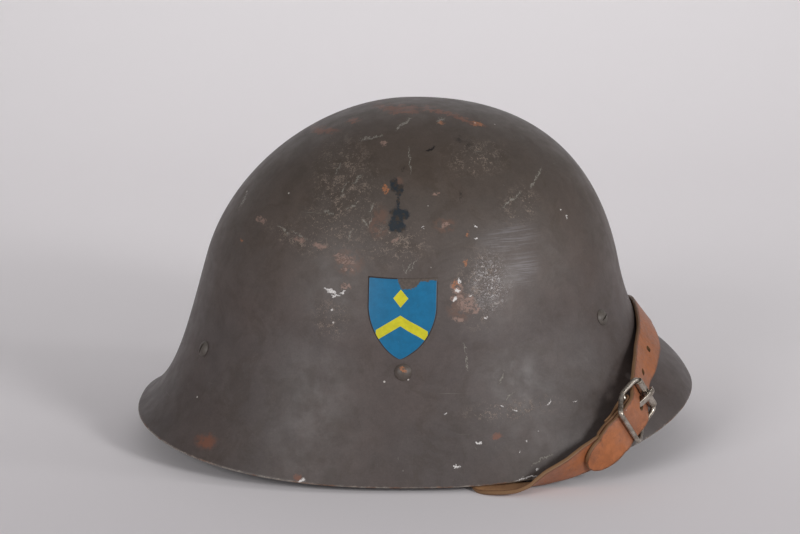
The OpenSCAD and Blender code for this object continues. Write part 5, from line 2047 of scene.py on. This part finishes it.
    def hole_seat(self, path: Array, at: float) -> Seat:
        """Seat on the strap's middle at a length along it, its x axis along the strap."""
        along = lengths(path)
        section = resampled(path, np.array([at]))[0]
        ahead = resampled(path, np.array([min(at + 1, along[-1])]))[0]
        way = unit(ahead[:3] - section[:3])
        normal = square_to(way, section[3:6])
        level = Seat(section[:3], normal).level
        turn = math.degrees(math.atan2(way @ np.cross(normal, level), way @ level))
        return Seat(section[:3], normal, turn)

    def build_end_rivets(self) -> None:
        """Makes the rivets through the folded ends, between the first sections of the run."""
        first = len(self.lug_end()) - len(self.lug_run)
        near, far = self.lug_end()[first:first + 2]
        middle = (near + far)[:3] / 2
        normal = square_to(far[:3] - near[:3], (near + far)[3:6])
        seats = [Seat(middle, normal), Seat(middle * MIRROR, normal * MIRROR)]
        head = dome(*self.rivet_head, self.thickness / 2 + self.rivet_lift, self.rivet_shank)
        rivets = turned("strap_end_rivets_domed", seats, shanked(head, self.rivet_reach), 32)
        dress(rivets, Finish.COPPER, "strap_end_rivets")

    def build(self) -> None:
        """Makes the straps, with their holes and slots, and the rivets through their ends."""
        slab = Slab()
        path, used = self.long_path()
        long_strap = slab.ribbon("long_strap_leather", path)
        spots = [used - number * self.hole_pitch for number in range(1, self.holes + 1)]
        cutters = [oblong(self.hole_seat(path, at), (0, 0, 0), self.hole_half, 3.0) for at in spots]
        cutters.append(oblong(self.buckle.seat, (5, 0, 2), (4.5, 1.8), 6.0))
        dress(cut(long_strap, cutters), Finish.STRAP, "long_chin_strap")
        short_strap = slab.ribbon("short_strap_leather", self.short_path())
        slot = oblong(self.buckle.seat, (0, 0, 0), (4.5, 2.0), 6.0)
        dress(cut(short_strap, [slot]), Finish.STRAP, "short_chin_strap")
        self.build_end_rivets()


@dataclass(frozen=True)
class Lamp:
    """A square soft lamp, in metres and watts, that looks at a target."""

    name: str
    place: Triple
    size: float
    power: float
    target: Triple = (0.0, 0.0, 0.09)

    def build(self) -> None:
        """Makes the lamp."""
        data = bpy.data.lights.new(self.name, "AREA")
        data.energy, data.size = self.power, self.size
        lamp = added(self.name, data)
        lamp.location = self.place
        aim = Vector(self.place) - Vector(self.target)
        lamp.rotation_mode = "QUATERNION"
        lamp.rotation_quaternion = aim.to_track_quat("Z", "Y")


@dataclass(frozen=True)
class Studio:
    """Pale floor that sweeps up into a backdrop, soft lamps and the camera."""

    grey: Colour = (250, 246, 248)
    front_grey: Colour = (218, 213, 216)
    fade: Pair = (-260, 160)
    half_width: float = 3000.0
    front: float = -2600.0
    back: float = 1500.0
    height: float = 2600.0
    sweep: float = 700.0
    world_strength: float = 0.23
    lamps: tuple[Lamp, ...] = (
        Lamp("key", (0.88, -1.13, 0.53), 0.32, 10.0),
        Lamp("side", (1.35, -0.35, 0.5), 0.2, 2.6),
        Lamp("fill", (-0.77, -1.18, 0.56), 0.6, 7.6),
        Lamp("backdrop", (0.0, 0.5, 1.5), 1.6, 7.5, (0.0, 1.5, 1.2)),
    )

    def build_sweep(self) -> None:
        """The floor and backdrop: a bent profile carried from side to side."""
        corners = np.array([[self.front, 0], [self.back, 0], [self.back, self.height]])
        y, z = fillet(corners, self.sweep, False, 24).T
        x = np.array([[-self.half_width], [self.half_width]])
        points = stacked(x, y, z).reshape(-1, 3)
        k = np.arange(len(y) - 1)
        quads = np.stack([k, k + len(y), k + len(y) + 1, k + 1], -1)
        mesh = bpy.data.meshes.new("studio_sweep")
        mesh.from_pydata((points * MM).tolist(), [], quads.tolist())
        mesh.polygons.foreach_set("use_smooth", np.ones(len(quads), bool))
        tree = Tree("studio_paper")
        back = tree.ramp(tree.along(tree.place, Y), *self.fade)
        tree.set(Base_Color=tree.blend(back, self.front_grey, self.grey), Roughness=0.95)
        mesh.materials.append(tree.material)
        added("studio_sweep", mesh)

    def build(self) -> None:
        """Makes the stage, the lamps, the world and the camera."""
        VIEW.place_camera()
        self.build_sweep()
        for lamp in self.lamps:
            lamp.build()
        scene = bpy.context.scene
        scene.world = scene.world or bpy.data.worlds.new("world")
        scene.world.use_nodes = True
        background = scene.world.node_tree.nodes["Background"]
        background.inputs[0].default_value = (1, 1, 1, 1)
        background.inputs[1].default_value = self.world_strength
        scene.view_settings.view_transform = "Standard"


def finish_liner_nuts() -> None:
    """Gives the frame's own liner nuts, which still show, their finish."""
    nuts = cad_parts["liner_nuts"]
    nuts.data.materials.clear()
    nuts.data.materials.append(Finish.PLAIN_STEEL.material())
    log.info("liner_nuts: kept from the frame")


def main() -> None:
    """Builds the stage and the helmet's sub-assemblies in order."""
    logging.basicConfig(level=logging.INFO, format="%(name)s: %(message)s")
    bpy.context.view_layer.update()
    Studio().build()
    Shell().build()
    Fasteners().build()
    Liner().build()
    StrapFittings().build()
    Buckle().build()
    ChinStrap().build()
    finish_liner_nuts()


if __name__ == "__main__":
    main()
